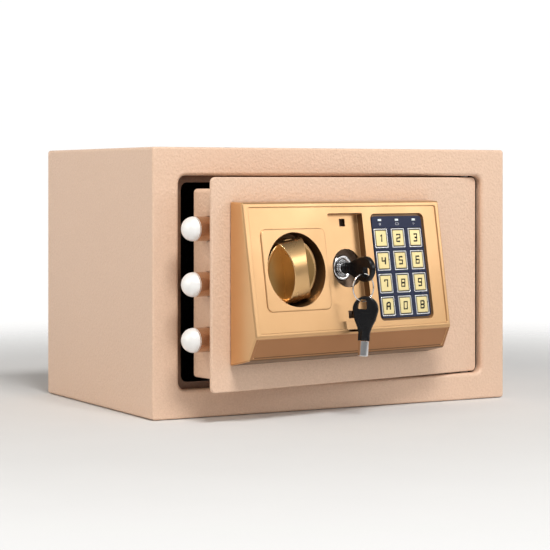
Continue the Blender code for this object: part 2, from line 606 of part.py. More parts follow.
def panel_housing():
    shell = add("panel_housing", house_body(0), GOLD, DOOR)
    bevel(shell, 1.3 * MM, 2, 20)
    # The hollow keeps clear of the walls of the well, the strip and the keypad pocket.
    hollow = helper("housing_hollow", house_body(HOUSE_WALL), DOOR)
    well = helper("well_wall", rod(PLATE, KNOB_X, WELL_Z, -5 * MM, 40 * MM, WELL_RADIUS + 2 * MM, 40), DOOR)
    combine(hollow, well)
    strip_outline = face_rect(STRIP_LEFT - 1.8 * MM, STRIP_RIGHT + 1.8 * MM, STRIP_BOTTOM_Z - 6 * MM,
                              STRIP_TOP_Z + 1.8 * MM, 1 * MM, 1)(0)
    strip_wall = [FACE @ Vector((x, v, n)) for n in (-STRIP_DEEP - 2.2 * MM, 10 * MM) for x, v in strip_outline]
    half = len(strip_wall) // 2
    combine(hollow, helper("strip_wall", loft([strip_wall[:half], strip_wall[half:]]), DOOR))
    pad_wall = slab([rounded(PAD_X, face_v(PAD_Z), PAD_WIDE + 3 * MM, PAD_TALL + 3 * MM, 4 * MM, 2)],
                    -PAD_DEEP - 2.4 * MM, 10 * MM, FACE)
    combine(hollow, helper("pad_wall", pad_wall, DOOR))
    combine(shell, hollow)
    field = face_rect(FIELD_LEFT, FIELD_RIGHT, FIELD_BOTTOM, FIELD_TOP, 1.5 * MM, 2)
    combine(shell, helper("field", pocket(field, 0.8 * MM, 0.4 * MM, FACE), DOOR))
    well_floor = rod(PLATE, KNOB_X, WELL_Z, WELL_FLOOR_H, 40 * MM, WELL_RADIUS, 40)
    combine(shell, helper("well", well_floor, DOOR))
    combine(shell, helper("spindle_hole", rod(PLATE, KNOB_X, KNOB_Z, -4 * MM, 8 * MM, 4.5 * MM, 16), DOOR))
    frame_v = face_v(WELL_Z)
    line = [rounded(KNOB_X, frame_v, KNOB_FRAME + wide, KNOB_FRAME + wide, 5 * MM + wide / 2, 3)
            for wide in (0.9 * MM, -0.9 * MM)]
    combine(shell, helper("knob_frame_line", slab(line, -1.4 * MM, 3 * MM, FACE), DOOR))
    strip = face_rect(STRIP_LEFT, STRIP_RIGHT, STRIP_BOTTOM_Z, STRIP_TOP_Z, 1 * MM, 1)
    combine(shell, helper("strip", pocket(strip, STRIP_DEEP, 0.5 * MM, FACE), DOOR))
    lock_hole = rod(PLATE, LOCK_X + 0.6 * MM, LOCK_Z, -4 * MM, 40 * MM, LOCK_HOLE_RADIUS, 32)
    combine(shell, helper("lock_well", lock_hole, DOOR))
    mid = (STRIP_LEFT + STRIP_RIGHT) / 2 + 1.6 * MM
    for i, z in enumerate((144.7 * MM, 76.2 * MM)):
        hole = slab([rounded(mid, face_v(z), 5.6 * MM, 5.8 * MM, 0.4 * MM, 1)], -STRIP_DEEP - 6 * MM, 0, FACE)
        combine(shell, helper(f"clip_hole_{i}", hole, DOOR))
    notch = [FACE @ Vector((x, v, n)) for n in (-4.5 * MM, 8 * MM)
             for x, v in rounded(mid, face_v(69 * MM), 22 * MM, 12 * MM, 3 * MM, 3)]
    half = len(notch) // 2
    combine(shell, helper("finger_notch", loft([notch[:half], notch[half:]]), DOOR))
    pad_v = face_v(PAD_Z)

    def pad(grow):
        return rounded(PAD_X, pad_v, PAD_WIDE + 2 * grow, PAD_TALL + 2 * grow, 4 * MM + grow, 3)
    combine(shell, helper("pad", pocket(pad, PAD_DEEP, 1.2 * MM, FACE), DOOR))
    window = slab([rounded(PAD_X, pad_v - 4 * MM, 49.6 * MM, 68 * MM, 2 * MM, 2)], -20 * MM, 0, FACE)
    combine(shell, helper("pad_window", window, DOOR))


# ---------------------------------------------------------------- keypad

def key_places():
    """Each key's name and its place on the face, top row first."""
    legends = ("1", "2", "3", "4", "5", "6", "7", "8", "9", "a", "0", "b")
    for i, legend in enumerate(legends):
        row, column = divmod(i, 3)
        yield "key_" + legend, PAD_X + (column - 1) * KEY_PITCH_X, KEY_ROW_TOP_V - row * KEY_PITCH_V


def keypad():
    pad_v = face_v(PAD_Z)
    floor = -PAD_DEEP + GAP
    top = floor + OVERLAY_THICK
    loops = [rounded(PAD_X, pad_v, OVERLAY_WIDE, OVERLAY_TALL, 3 * MM, 3)]
    loops += [rounded(x, v, KEY_WIDE + 0.8 * MM, KEY_TALL + 0.8 * MM, 1 * MM, 1)
              for _, x, v in key_places()]
    leds = [(PAD_X + (i - 1) * KEY_PITCH_X, LED_V) for i in range(3)]
    loops += [rounded(x, v, 3.9 * MM, 2.2 * MM, 0.2 * MM, 1) for x, v in leds]
    add("keypad_overlay", slab(loops, floor, top, FACE), NAVY, DOOR)
    for i, (x, v) in enumerate(leds):
        lens = slab([rounded(x, v, 3.3 * MM, 1.6 * MM, 0.2 * MM, 1)], floor, top + 0.25 * MM, FACE)
        add(f"led_lens_{i + 1}", lens, CLEAR, DOOR)
    for name, x, v in key_places():
        outline = rounded(x, v, KEY_WIDE, KEY_TALL, 0.8 * MM, 1)
        cap = add(name, slab([outline], -KEY_DEEP, -KEY_SUNK, FACE), GOLD, KEYS[name])
        bevel(cap, 0.6 * MM, 1, 60)
    board = slab([rounded(PAD_X, pad_v - 3 * MM, 47 * MM, 62 * MM, 1 * MM, 1)], -9 * MM, -7.4 * MM, FACE)
    add("keypad_board", board, GREEN, DOOR)


# ---------------------------------------------------------------- lock, keys and ring

def lock_work():
    front, bore = LOCK_FRONT_H, PLUG_RADIUS + 0.25 * MM
    tail = -19.5 * MM
    barrel_profile = [(bore, front - 1.2 * MM), (bore + 1 * MM, front - 0.3 * MM),
                      (BARREL_RADIUS - 1 * MM, front), (BARREL_RADIUS, front - 0.8 * MM),
                      (BARREL_RADIUS, tail), (bore, tail)]
    add("lock_barrel", tube(PLATE, LOCK_X, LOCK_Z, barrel_profile, 28), CHROME, DOOR)
    nut = slab([ring_of(LOCK_X, LOCK_Z, 14 * MM, 6), ring_of(LOCK_X, LOCK_Z, BARREL_RADIUS + GAP, 24)],
               -PLATE_THICK - GAP - 3 * MM, -PLATE_THICK - GAP, PLATE)
    add("lock_nut", nut, STEEL, DOOR)
    face, deep = front - 0.8 * MM, front - 0.8 * MM - 10 * MM
    outer, inner = KEY_TUBE_RADIUS + 0.2 * MM, KEY_TUBE_BORE - 0.2 * MM
    spigot, shoulder, tip_h = 3 * MM, tail - 0.4 * MM, tail - 4.6 * MM
    profile = [(0, face), (inner, face), (inner, deep), (outer, deep), (outer, face - 0.4 * MM),
               (outer + 0.4 * MM, face), (PLUG_RADIUS, face), (PLUG_RADIUS, shoulder), (spigot, shoulder),
               (spigot, tip_h), (0, tip_h)]
    turned("lock_plug", profile, PLATE, LOCK_X, LOCK_Z, CHROME, PLUG, 24)
    hub, reach, tip = 6.5 * MM, 27.6 * MM, 2.5 * MM
    outline = arc(LOCK_X, LOCK_Z, hub, hub, 0, 180, 8) + arc(LOCK_X, LOCK_Z - reach, tip, tip, 180, 360, 6)
    hole = ring_of(LOCK_X, LOCK_Z, 3.1 * MM, 16)
    add("lock_cam", slab([outline, hole], tail - 2.8 * MM, tail - 0.8 * MM, PLATE), STEEL, PLUG)


def solenoid():
    """A coil under the lock whose plunger drops the carriage when the cam lets it rise."""
    top = 66 * MM
    body = add("solenoid_body", box((LOCK_X - 9 * MM, CARRIAGE_Y - 8 * MM, 38 * MM),
                                    (LOCK_X + 9 * MM, CARRIAGE_Y + 6.5 * MM, top)), STEEL, DOOR)
    upright = Matrix.Translation((LOCK_X, CARRIAGE_Y, 0))
    combine(body, helper("plunger_bore", rod(upright, 0, 0, 44 * MM, 80 * MM, 2.9 * MM, 16), DOOR))
    bevel(body, 0.8 * MM, 1, 60)
    rest = LOCK_Z - 27.5 * MM - 0.8 * MM
    rod_r, collar_r = 2.5 * MM, 4.6 * MM
    collar_top, collar_foot = rest - 6 * MM, rest - 7.4 * MM
    profile = [(0, rest), (rod_r - 0.4 * MM, rest), (rod_r, rest - 0.5 * MM), (rod_r, collar_top),
               (collar_r, collar_top), (collar_r, collar_foot), (rod_r, collar_foot), (rod_r, 48 * MM),
               (0, 48 * MM)]
    plunger = turned("solenoid_plunger", profile, upright, 0, 0, STEEL, PLUNGER, 16)
    # The tab that the cam holds down is narrower than the carriage's notch.
    tab_half = 3.0 * MM
    tab = box((LOCK_X - tab_half, CARRIAGE_Y + 1 * MM, rest - 5.4 * MM),
              (LOCK_X + tab_half, CARRIAGE_Y + 5.4 * MM, rest - 2.2 * MM))
    combine(plunger, helper("plunger_tab", tab, PLUNGER), "UNION")
    curve = bpy.data.curves.new("solenoid_spring", "CURVE")
    curve.dimensions = "3D"
    curve.bevel_depth = 0.35 * MM
    curve.bevel_resolution = 1
    curve.use_fill_caps = True
    turns, per_turn, coil_r = 3, 12, 3.7 * MM
    low, high = top + 0.8 * MM, collar_foot - 0.8 * MM
    spline = curve.splines.new("POLY")
    spline.points.add(turns * per_turn)
    for i, point in enumerate(spline.points):
        t = 2 * math.pi * i / per_turn
        rise = low + (high - low) * i / (turns * per_turn)
        point.co = (coil_r * math.cos(t), coil_r * math.sin(t), rise, 1)
    coil = bpy.data.objects.new("solenoid_spring", curve)
    curve.materials.append(STEEL)
    PARTS.objects.link(coil)
    coil.parent = DOOR
    coil.matrix_parent_inverse = Matrix.Translation(-Vector(DOOR["shut"]))
    coil.location = (LOCK_X, CARRIAGE_Y, 0)


def head_outline():
    """A key head from its neck at 0 to its round end, as (across, along), with the ring hole last."""
    end = HEAD_LENGTH - HEAD_RADIUS
    neck = 7 * MM
    turns = [math.radians(a) for a in (-22, 0, 25, 50, 72, 90)]
    right = [(NECK_RADIUS, 0), (NECK_RADIUS, neck)]
    right += [(HEAD_RADIUS * math.cos(t), end + HEAD_RADIUS * math.sin(t)) for t in turns]
    left = [(-x, y) for x, y in reversed(right[:-1])]
    return right + left


def key_pair():
    """The key in the lock, its ring, and the spare that hangs from it."""
    start = LOCK_FRONT_H - KEY_INSERTED
    end = start + KEY_TUBE_LENGTH
    shank = [(KEY_TUBE_BORE, 0), (KEY_TUBE_RADIUS, 0), (KEY_TUBE_RADIUS, KEY_TUBE_LENGTH),
             (KEY_TUBE_BORE, KEY_TUBE_LENGTH)]
    add("key_tube", tube(PLATE, LOCK_X, LOCK_Z, [(r, start + h) for r, h in shank]), CHROME, KEY_IN)
    # The head's flat stands upright, square to the door, with its hole below the key's axis.
    upright = Matrix.Translation((LOCK_X, PLATE_FRONT - end - GAP, LOCK_Z)) \
        @ Matrix.Rotation(math.pi / 2, 4, "Y") @ Matrix.Rotation(math.pi, 4, "Z")
    outline = [head_outline(), HEAD_HOLE]
    head = add("key_head", slab(outline, -HEAD_THICK / 2, HEAD_THICK / 2, upright), BLACK, KEY_IN)
    bevel(head, 0.7 * MM, 1, 60)
    place = Matrix.Translation(RING_CENTRE) @ Matrix.Rotation(math.pi / 2, 4, "X")
    wire = arc(0, 0, RING_WIRE, RING_WIRE, 0, 300, 5)
    add("key_ring", tube(place, 0, 0, [(RING_RADIUS + r, h) for r, h in wire], 28), STEEL, RING)
    hang = Matrix.Translation(SPARE_HOLE) @ Matrix.Rotation(SPARE_LEAN, 4, "Y") \
        @ Matrix.Rotation(SPARE_TURN, 4, "Z") @ Matrix.Rotation(math.pi / 2, 4, "X") \
        @ Matrix.Translation((-HOLE_MID, -HOLE_TOP, 0))
    spare = add("spare_key_head", slab(outline, -HEAD_THICK / 2, HEAD_THICK / 2, hang), BLACK, SPARE)
    bevel(spare, 0.7 * MM, 1, 60)
    down = hang @ Matrix.Rotation(math.pi / 2, 4, "X")
    add("spare_key_tube", tube(down, 0, 0, [(r, GAP + h) for r, h in shank]), CHROME, SPARE)


# ---------------------------------------------------------------- assembly

# The ring's wire lies on the lower edge of the first key's hole, and the spare's hole hangs on the ring.
HEAD_START_H = LOCK_FRONT_H - KEY_INSERTED + KEY_TUBE_LENGTH + GAP
RING_TOP = Vector((LOCK_X, PLATE_FRONT - HEAD_START_H - RING_AT, LOCK_Z + HOLE_LOW + RING_WIRE + 1.2 * MM))
RING_CENTRE = RING_TOP - Vector((RING_ASIDE, 0, math.sqrt(RING_RADIUS ** 2 - RING_ASIDE ** 2)))
RING_FOOT = RING_CENTRE - Vector((0, 0, RING_RADIUS))
SPARE_HOLE = RING_FOOT + Vector((0, 0, RING_WIRE + 0.5 * MM))

DOOR = pivot("door_pivot", (PIVOT_X, PIVOT_Y, 0))
KNOB = pivot("knob_pivot", PLATE @ Vector((KNOB_X, KNOB_Z, 0)), DOOR)
BOLTS = pivot("bolt_slide", (BOLT_TIP, BOLT_Y, MID_Z), DOOR)
PLUG = pivot("plug_pivot", PLATE @ Vector((LOCK_X, LOCK_Z, 0)), DOOR)
KEY_IN = pivot("key_slide", PLATE @ Vector((LOCK_X, LOCK_Z, LOCK_FRONT_H)), PLUG)
RING = pivot("ring_pivot", RING_TOP, KEY_IN)
SPARE = pivot("spare_pivot", RING_FOOT, RING)
PLUNGER = pivot("plunger_slide", (LOCK_X, CARRIAGE_Y, 66 * MM), DOOR)
BATTERY_SLIDE = pivot("battery_cover_slide", (81 * MM, BOX_BACK, 78 * MM), DOOR)
RESET = pivot("reset_slide", (100 * MM, BOX_BACK, 141 * MM), DOOR)
KEYS = {name: pivot(name + "_slide", FACE @ Vector((x, v, 0)), DOOR) for name, x, v in key_places()}

body_shell()
back_panel()
floor_mat()
door_stop_frame()
hinge_hardware()
door_plate()
door_box()
rear_cover()
battery_bay()
reset_button()
bolt_work()
knob_work()
panel_housing()
keypad()
lock_work()
solenoid()
key_pair()
DOOR.rotation_euler.z = AJAR
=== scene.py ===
"""The looks of the in-room safe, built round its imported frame. Metres, +Z up, front towards -Y."""

import math

import bmesh
import bpy
from mathutils import Matrix, Vector


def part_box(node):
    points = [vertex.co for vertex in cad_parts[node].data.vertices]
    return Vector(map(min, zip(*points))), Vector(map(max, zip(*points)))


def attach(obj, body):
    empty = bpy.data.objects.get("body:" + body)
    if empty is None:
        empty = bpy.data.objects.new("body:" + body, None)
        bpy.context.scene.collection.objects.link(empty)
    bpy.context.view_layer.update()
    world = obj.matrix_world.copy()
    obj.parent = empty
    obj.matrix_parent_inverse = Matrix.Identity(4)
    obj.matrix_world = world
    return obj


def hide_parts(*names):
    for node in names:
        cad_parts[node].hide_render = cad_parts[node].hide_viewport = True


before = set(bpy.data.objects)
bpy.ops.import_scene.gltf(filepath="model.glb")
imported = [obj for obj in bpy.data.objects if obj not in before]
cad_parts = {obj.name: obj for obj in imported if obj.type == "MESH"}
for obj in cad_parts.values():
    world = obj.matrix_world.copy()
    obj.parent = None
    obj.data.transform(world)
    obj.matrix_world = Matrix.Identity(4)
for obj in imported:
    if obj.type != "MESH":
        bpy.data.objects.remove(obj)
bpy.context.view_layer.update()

MM = 0.001
GAP, CUTTER_CLEAR = 0.3 * MM, 6 * MM
QUARTER = math.pi / 2

# Body
WIDTH, DEPTH, HEIGHT = 313 * MM, 203 * MM, 200 * MM
SHEET, EDGE_RADIUS, LIP, REBATE = 2 * MM, 1.6 * MM, 3 * MM, 7.8 * MM
OPEN_HALF_WIDE, OPEN_HALF_TALL = 135 * MM, 79 * MM
ANCHOR_RADIUS, ANCHOR_SPACING = 5 * MM, 160 * MM
FRONT, MID_Z = -DEPTH / 2, HEIGHT / 2

# Door
PLATE_LEFT, PLATE_RIGHT, PLATE_BOTTOM, PLATE_TOP = -133.4 * MM, 131.6 * MM, 22.2 * MM, 177.8 * MM
PLATE_THICK, PLATE_FRONT = 3 * MM, FRONT + 4 * MM
PLATE_BACK = PLATE_FRONT + PLATE_THICK
PIVOT = Vector((125.6 * MM, FRONT + 11 * MM, 0))
AJAR = math.radians(9.8)
BOX_INSET, BOX_BACK, BOX_SHEET = 8.5 * MM, FRONT + 38 * MM, 1.5 * MM
PIN_RADIUS = 3 * MM
BOLT_RADIUS, BOLT_PITCH, BOLT_Y = 9 * MM, 40.3 * MM, FRONT + 20.5 * MM
BOLT_TIP, BOLT_LENGTH, BOLT_DOME = -146.4 * MM, 46.6 * MM, 8.4 * MM
LUG_LEFT, LUG_RIGHT, LUG_LOW, LUG_HIGH = 119.8 * MM, 130.8 * MM, 73.2 * MM, 76.2 * MM
SPINDLE_HOLE, SPINDLE_BORE = 4.6 * MM, 4.5 * MM

# Back of the door
BATTERY_X, BATTERY_Z, RESET_X, RESET_Z = 81 * MM, 78 * MM, 100 * MM, 141 * MM
SCREW_INSET, SCREW_HOLE = 7 * MM, 1.8 * MM

# Control housing
HOUSE_LEFT, HOUSE_RIGHT, HOUSE_BOTTOM, HOUSE_TOP = -117.3 * MM, 78.5 * MM, 41 * MM, 160 * MM
FACE_TOP_Z, FACE_TOP_H = 159.3 * MM, 13 * MM
FACE_BOTTOM_Z, FACE_BOTTOM_H = 62.8 * MM, 28.6 * MM
CHIN_Z, CHIN_H = 45.5 * MM, 20.2 * MM
HOUSE_DRAFT, HOUSE_WALL = 0.07, 2.4 * MM
TILT = math.atan((FACE_BOTTOM_H - FACE_TOP_H) / (FACE_TOP_Z - FACE_BOTTOM_Z))
FACE_MID_Z = 110.5 * MM
FACE_MID_H = FACE_TOP_H + (FACE_TOP_Z - FACE_MID_Z) * math.tan(TILT)

# Knob
KNOB_X, KNOB_Z, WELL_Z = -71.5 * MM, 109.1 * MM, 110.3 * MM
WELL_RADIUS, WELL_FLOOR_H = 27.2 * MM, 4 * MM
KNOB_RADIUS, KNOB_BACK_H, KNOB_DISC_H, KNOB_TOP_H = 23.8 * MM, 4.6 * MM, 15 * MM, 26.5 * MM
GRIP_HALF, GRIP_SCOOP = 6.4 * MM, 54 * MM
KNOB_LEAN, KNOB_FRAME = math.radians(9), 60.6 * MM

# Lock and keys
STRIP_LEFT, STRIP_RIGHT, STRIP_BOTTOM_Z, STRIP_TOP_Z = -36.3 * MM, -2.2 * MM, 71 * MM, 151 * MM
STRIP_DEEP, STRIP_HOLES_Z, NOTCH_Z = 7 * MM, (144.7 * MM, 76.2 * MM), 69 * MM
LOCK_X, LOCK_Z, LOCK_FRONT_H = -17.5 * MM, 109.6 * MM, 10 * MM
BARREL_RADIUS, PLUG_RADIUS, LOCK_HOLE_RADIUS, LOCK_TAIL = 9.75 * MM, 6 * MM, 14.4 * MM, -19.5 * MM
KEY_TUBE_RADIUS, KEY_TUBE_BORE = 3.9 * MM, 2.8 * MM
KEY_TUBE_LENGTH, KEY_INSERTED = 11 * MM, 9.8 * MM
HEAD_LENGTH, HEAD_THICK, HEAD_RADIUS, NECK_RADIUS = 33 * MM, 4.4 * MM, 9.6 * MM, 4.3 * MM
RING_RADIUS, RING_WIRE = 10.2 * MM, 0.9 * MM
HEAD_HOLE = [(x * MM, y * MM) for x, y in
             ((-6, 23.2), (1.2, 23.2), (1.2, 28.5), (0.3, 30.4), (-4.3, 30.4), (-6, 26.5))]
HOLE_LOW, HOLE_MID, HOLE_TOP = -6 * MM, -2.2 * MM, 30.4 * MM
RING_AT, RING_ASIDE = 25 * MM, 3.4 * MM
SPARE_TURN, SPARE_LEAN = math.radians(-54), math.radians(4.5)

# Keypad
PAD_X, PAD_Z = 33.1 * MM, 109.95 * MM
PAD_WIDE, PAD_TALL, PAD_DEEP = 54.5 * MM, 81.4 * MM, 3 * MM
WINDOW_WIDE, WINDOW_TALL, SIGN_WIRE = 49.6 * MM, 68 * MM, 0.13 * MM
LEGEND_WIDE, LEGEND_HALF, LEGEND_SLANT, LEGEND_WIRE = 3.3 * MM, 2.7 * MM, 0.12, 0.68 * MM
OVERLAY_WIDE, OVERLAY_TALL, OVERLAY_THICK = 51.2 * MM, 77.8 * MM, 1 * MM
KEY_WIDE, KEY_TALL, KEY_PITCH_X, KEY_PITCH_V = 13.6 * MM, 15 * MM, 17.5 * MM, 17.3 * MM
KEY_ROW_TOP_V, KEY_SUNK, KEY_DEEP, LED_V = 21.4 * MM, 1.7 * MM, 5.8 * MM, 35.4 * MM

# Camera
CAMERA_AT, CAMERA_TURN = (-0.7347, -1.3394, 0.1752), math.radians(-28.781)
CAMERA_LENS, CAMERA_SENSOR, CAMERA_SHIFT = 122.34, 36, -0.1715

WORLD = Matrix.Identity(4)


def shift(*offset):
    return Matrix.Translation(offset)


def spin(angle, axis):
    return Matrix.Rotation(angle, 4, axis)


# Frames. Door pieces are placed as if it were shut, and DOOR turns them to the resting angle.
DOOR = shift(*PIVOT) @ spin(AJAR, "Z") @ shift(*-PIVOT)
PLATE = DOOR @ shift(0, PLATE_FRONT, 0) @ spin(QUARTER, "X")
FACE = DOOR @ shift(0, PLATE_FRONT - FACE_MID_H, FACE_MID_Z) @ spin(QUARTER - TILT, "X")


def face_v(z):
    """How far up the leaning face a height is."""
    return (z - FACE_MID_Z) / math.cos(TILT)


# ---------------------------------------------------------------- materials

def shader(name, colour, roughness, metallic=0.0, **sockets):
    """A Principled material whose constant values are on the shader's own sockets."""
    material = bpy.data.materials.new(name)
    material.use_nodes = True
    bsdf = material.node_tree.nodes["Principled BSDF"]
    bsdf.inputs["Base Color"].default_value = (*colour, 1)
    bsdf.inputs["Roughness"].default_value = roughness
    bsdf.inputs["Metallic"].default_value = metallic
    for socket, value in sockets.items():
        bsdf.inputs[socket.replace("_", " ")].default_value = value
    return material


def add_node(tree, kind, inputs=None, **settings):
    made = tree.nodes.new(kind)
    for key, value in settings.items():
        setattr(made, key, value)
    for key, value in (inputs or {}).items():
        if isinstance(value, bpy.types.NodeSocket):
            tree.links.new(value, made.inputs[key])
        else:
            made.inputs[key].default_value = value
    return made


def noise(tree, scale, detail=3.0, roughness=0.5, stretch=None):
    """Noise over the piece's own coordinates, so it stays with the piece when that moves."""
    place = tree.nodes.new("ShaderNodeTexCoord").outputs["Object"]
    if stretch:
        place = add_node(tree, "ShaderNodeMapping", {"Vector": place, "Scale": stretch}).outputs["Vector"]
    return add_node(tree, "ShaderNodeTexNoise", {"Vector": place, "Scale": scale, "Detail": detail,
                                                 "Roughness": roughness}).outputs["Fac"]


def spread(tree, value, low, high, start=0.3, end=0.7, **settings):
    """Maps start to end, which is a noise's middle range unless given, onto low to high."""
    inputs = {"Value": value, "From Min": start, "From Max": end, "To Min": low, "To Max": high}
    return add_node(tree, "ShaderNodeMapRange", inputs, **settings).outputs["Result"]


def blend_colour(tree, factor, first, second):
    """Mixes two colours, the first of which may come from another node."""
    made = add_node(tree, "ShaderNodeMix", {"Factor": factor}, data_type="RGBA")
    if isinstance(first, bpy.types.NodeSocket):
        tree.links.new(first, made.inputs[6])
    else:
        made.inputs[6].default_value = (*first, 1)
    made.inputs[7].default_value = (*second, 1)
    return made.outputs[2]


def finish_with(material, colour=None, roughness=None, heights=()):
    """Links colour and roughness, and stacks bumps given as (height, strength, depth in metres)."""
    tree = material.node_tree
    bsdf = tree.nodes["Principled BSDF"]
    if colour is not None:
        tree.links.new(colour, bsdf.inputs["Base Color"])
    if roughness is not None:
        tree.links.new(roughness, bsdf.inputs["Roughness"])
    normal = None
    for height, strength, depth in heights:
        bump = add_node(tree, "ShaderNodeBump", {"Height": height, "Strength": strength, "Distance": depth})
        if normal:
            tree.links.new(normal, bump.inputs["Normal"])
        normal = bump.outputs["Normal"]
    if normal:
        tree.links.new(normal, bsdf.inputs["Normal"])
    return material


def powder_coat(name, colour, dark, roughness=0.46):
    """Leather-grained powder coat: shallow blisters of about 1 mm over a fine orange peel."""
    material = shader(name, colour, roughness, Coat_Weight=0.12, Coat_Roughness=0.3)
    tree = material.node_tree
    place = tree.nodes.new("ShaderNodeTexCoord").outputs["Object"]
    inputs = {"Vector": place, "Scale": 480.0, "Randomness": 1.0, "Smoothness": 0.6}
    blisters = add_node(tree, "ShaderNodeTexVoronoi", inputs, feature="SMOOTH_F1").outputs["Distance"]
    peel = noise(tree, 760.0, 4.0, 0.6)
    drift = noise(tree, 9.0, 3.0)
    grain = blend_colour(tree, spread(tree, peel, 0.0, 1.0), dark, colour)
    tint = blend_colour(tree, spread(tree, drift, 0.0, 0.16), grain, dark)
    return finish_with(material, tint, spread(tree, peel, roughness - 0.07, roughness + 0.1),
                       ((blisters, 0.58, 0.0005), (peel, 0.48, 0.0005)))


def satin(name, colour, deep, roughness=0.33, metallic=0.82, flake_depth=0.02 * MM):
    """Satin paint or plating: fine flake, a slow drift in tone and a light coat."""
    material = shader(name, colour, roughness, metallic, Coat_Weight=0.25, Coat_Roughness=0.22)
    tree = material.node_tree
    flake = noise(tree, 1500.0, 2.0)
    drift = noise(tree, 26.0, 4.0)
    tone = blend_colour(tree, spread(tree, drift, 0.0, 0.3), colour, deep)
    sparkle = blend_colour(tree, spread(tree, flake, 0.0, 0.08), tone, deep)
    return finish_with(material, sparkle, spread(tree, drift, roughness - 0.02, roughness + 0.03),
                       ((flake, 0.01, flake_depth), (drift, 0.03, 0.3 * MM)))


def metal(name, colour, roughness, stretch=(1, 1, 14), marks=0.05, blotch=0.06):
    """Plated or polished metal with faint drawn marks and a cloudy plating tone."""
    material = shader(name, colour, roughness, 1.0)
    tree = material.node_tree
    drawn = noise(tree, 420.0, 5.0, 0.6, stretch)
    cloud = noise(tree, 60.0, 4.0)
    deep = tuple(channel * (1 - 3 * blotch) for channel in colour)
    return finish_with(material, blend_colour(tree, spread(tree, cloud, 0.0, 1.0), colour, deep),
                       spread(tree, cloud, max(roughness - 0.03, 0.03), roughness + 0.05),
                       ((drawn, marks, 0.00005),))


def moulded(name, colour, roughness, worn=0.08, grain=1500.0, strength=0.1, **sockets):
    """Moulded plastic with a fine spark-eroded grain and rubbed patches."""
    material = shader(name, colour, roughness, 0.0, **sockets)
    tree = material.node_tree
    fine = noise(tree, grain, 3.0)
    rubbed = noise(tree, 55.0, 4.0)
    lighter = tuple(channel * 1.2 + 0.002 for channel in colour)
    return finish_with(material, blend_colour(tree, spread(tree, rubbed, 0.0, 0.8), colour, lighter),
                       spread(tree, rubbed, roughness - worn, roughness + worn), ((fine, strength, 0.0001),))


def felt(name, colour):
    """Short matted pile."""
    material = shader(name, colour, 0.95, Sheen_Weight=0.35, Sheen_Roughness=0.6)
    tree = material.node_tree
    fluff = noise(tree, 1400.0, 6.0, 0.7)
    matted = noise(tree, 120.0, 4.0)
    lighter = tuple(channel * 2 + 0.01 for channel in colour)
    return finish_with(material, blend_colour(tree, spread(tree, fluff, 0.0, 1.0), colour, lighter),
                       spread(tree, matted, 0.86, 1.0), ((matted, 0.3, 0.0006), (fluff, 0.7, 0.0004)))


COAT = powder_coat("powder_coat", (0.84, 0.6, 0.45), (0.73, 0.5, 0.355))
# The stop frame wears the same coat, darkened here as painted shade.
STOP_COAT_PAINTED_SHADE = powder_coat("stop_frame_coat_painted_shade", (0.17, 0.085, 0.045), (0.13, 0.06, 0.03), 0.55)
# Near-black for the faces inside the case and the rear wall's inner face.
INSIDE_NEAR_BLACK = powder_coat("near_black_inside", (0.014, 0.012, 0.011), (0.009, 0.008, 0.008), 0.6)
GOLD = satin("gold_plastic", (0.71, 0.43, 0.21), (0.59, 0.33, 0.14))
# A darker gold as painted shade on the housing's chin and underside.
GOLD_PAINTED_SHADE = satin("gold_painted_shade", (0.42, 0.2, 0.085), (0.33, 0.15, 0.06), 0.3)
# A darker gold as painted shade on the knob disc's flat front beside the grip.
GOLD_DISC_PAINTED_SHADE = satin("gold_disc_painted_shade", (0.5, 0.3, 0.11), (0.4, 0.22, 0.07), 0.3, 1.0, 0.002 * MM)
# A near-brown gold as painted shadow in the knob's well, the lock strip and the pocket under the keypad film.
GOLD_PAINTED_SHADOW = satin("gold_painted_shadow", (0.17, 0.09, 0.035), (0.12, 0.06, 0.025), 0.4, 0.7)
GOLD_KNOB = satin("gold_knob", (0.8, 0.5, 0.23), (0.7, 0.42, 0.18), 0.27, 1.0, 0.002 * MM)
KEY_GOLD = satin("key_gold", (0.78, 0.66, 0.33), (0.62, 0.47, 0.17), 0.3, 0.45)
SILVER = metal("bezel_silver", (0.72, 0.72, 0.74), 0.28, (1, 1, 1), 0.03, 0.03)
CHROME = metal("chrome", (0.86, 0.86, 0.87), 0.07, (1, 1, 9), 0.02, 0.01)
# The bolts' sides carry a golden-brown painted reflection of the gold and coat round them, and their domed
# ends a near-white painted highlight.
BOLT_SIDE_PAINTED_REFLECTION = satin("bolt_side_painted_reflection", (0.62, 0.39, 0.24), (0.46, 0.27, 0.15), 0.24, 0.9)
BOLT_END_PAINTED_HIGHLIGHT = satin("bolt_end_painted_highlight", (0.97, 0.97, 0.96), (0.93, 0.93, 0.92), 0.4, 0.25)
ZINC = metal("zinc_steel", (0.56, 0.56, 0.57), 0.34, (1, 1, 10), 0.1, 0.07)
NAVY = moulded("navy_film", (0.02, 0.025, 0.058), 0.5, 0.05, 2200.0, 0.05, Specular_IOR_Level=0.25)
INK = moulded("ink", (0.006, 0.005, 0.005), 0.6, 0.05, 3000.0, 0.05, Specular_IOR_Level=0.2)
PALE_INK = moulded("pale_ink", (0.62, 0.63, 0.66), 0.45, 0.05, 3000.0, 0.05)
LENS = moulded("lens", (0.86, 0.87, 0.86), 0.18, 0.05, 900.0, 0.06, Subsurface_Weight=0.3, Coat_Weight=0.5)
BLACK = moulded("black_plastic", (0.004, 0.004, 0.005), 0.24, 0.06, 1300.0, 0.03, Specular_IOR_Level=0.3)
TRAY = moulded("tray_plastic", (0.02, 0.02, 0.021), 0.48, 0.06, 900.0, 0.16)
RED = moulded("red_plastic", (0.5, 0.02, 0.02), 0.34)
BOARD = moulded("circuit_green", (0.02, 0.15, 0.06), 0.42, 0.08, 300.0, 0.2)
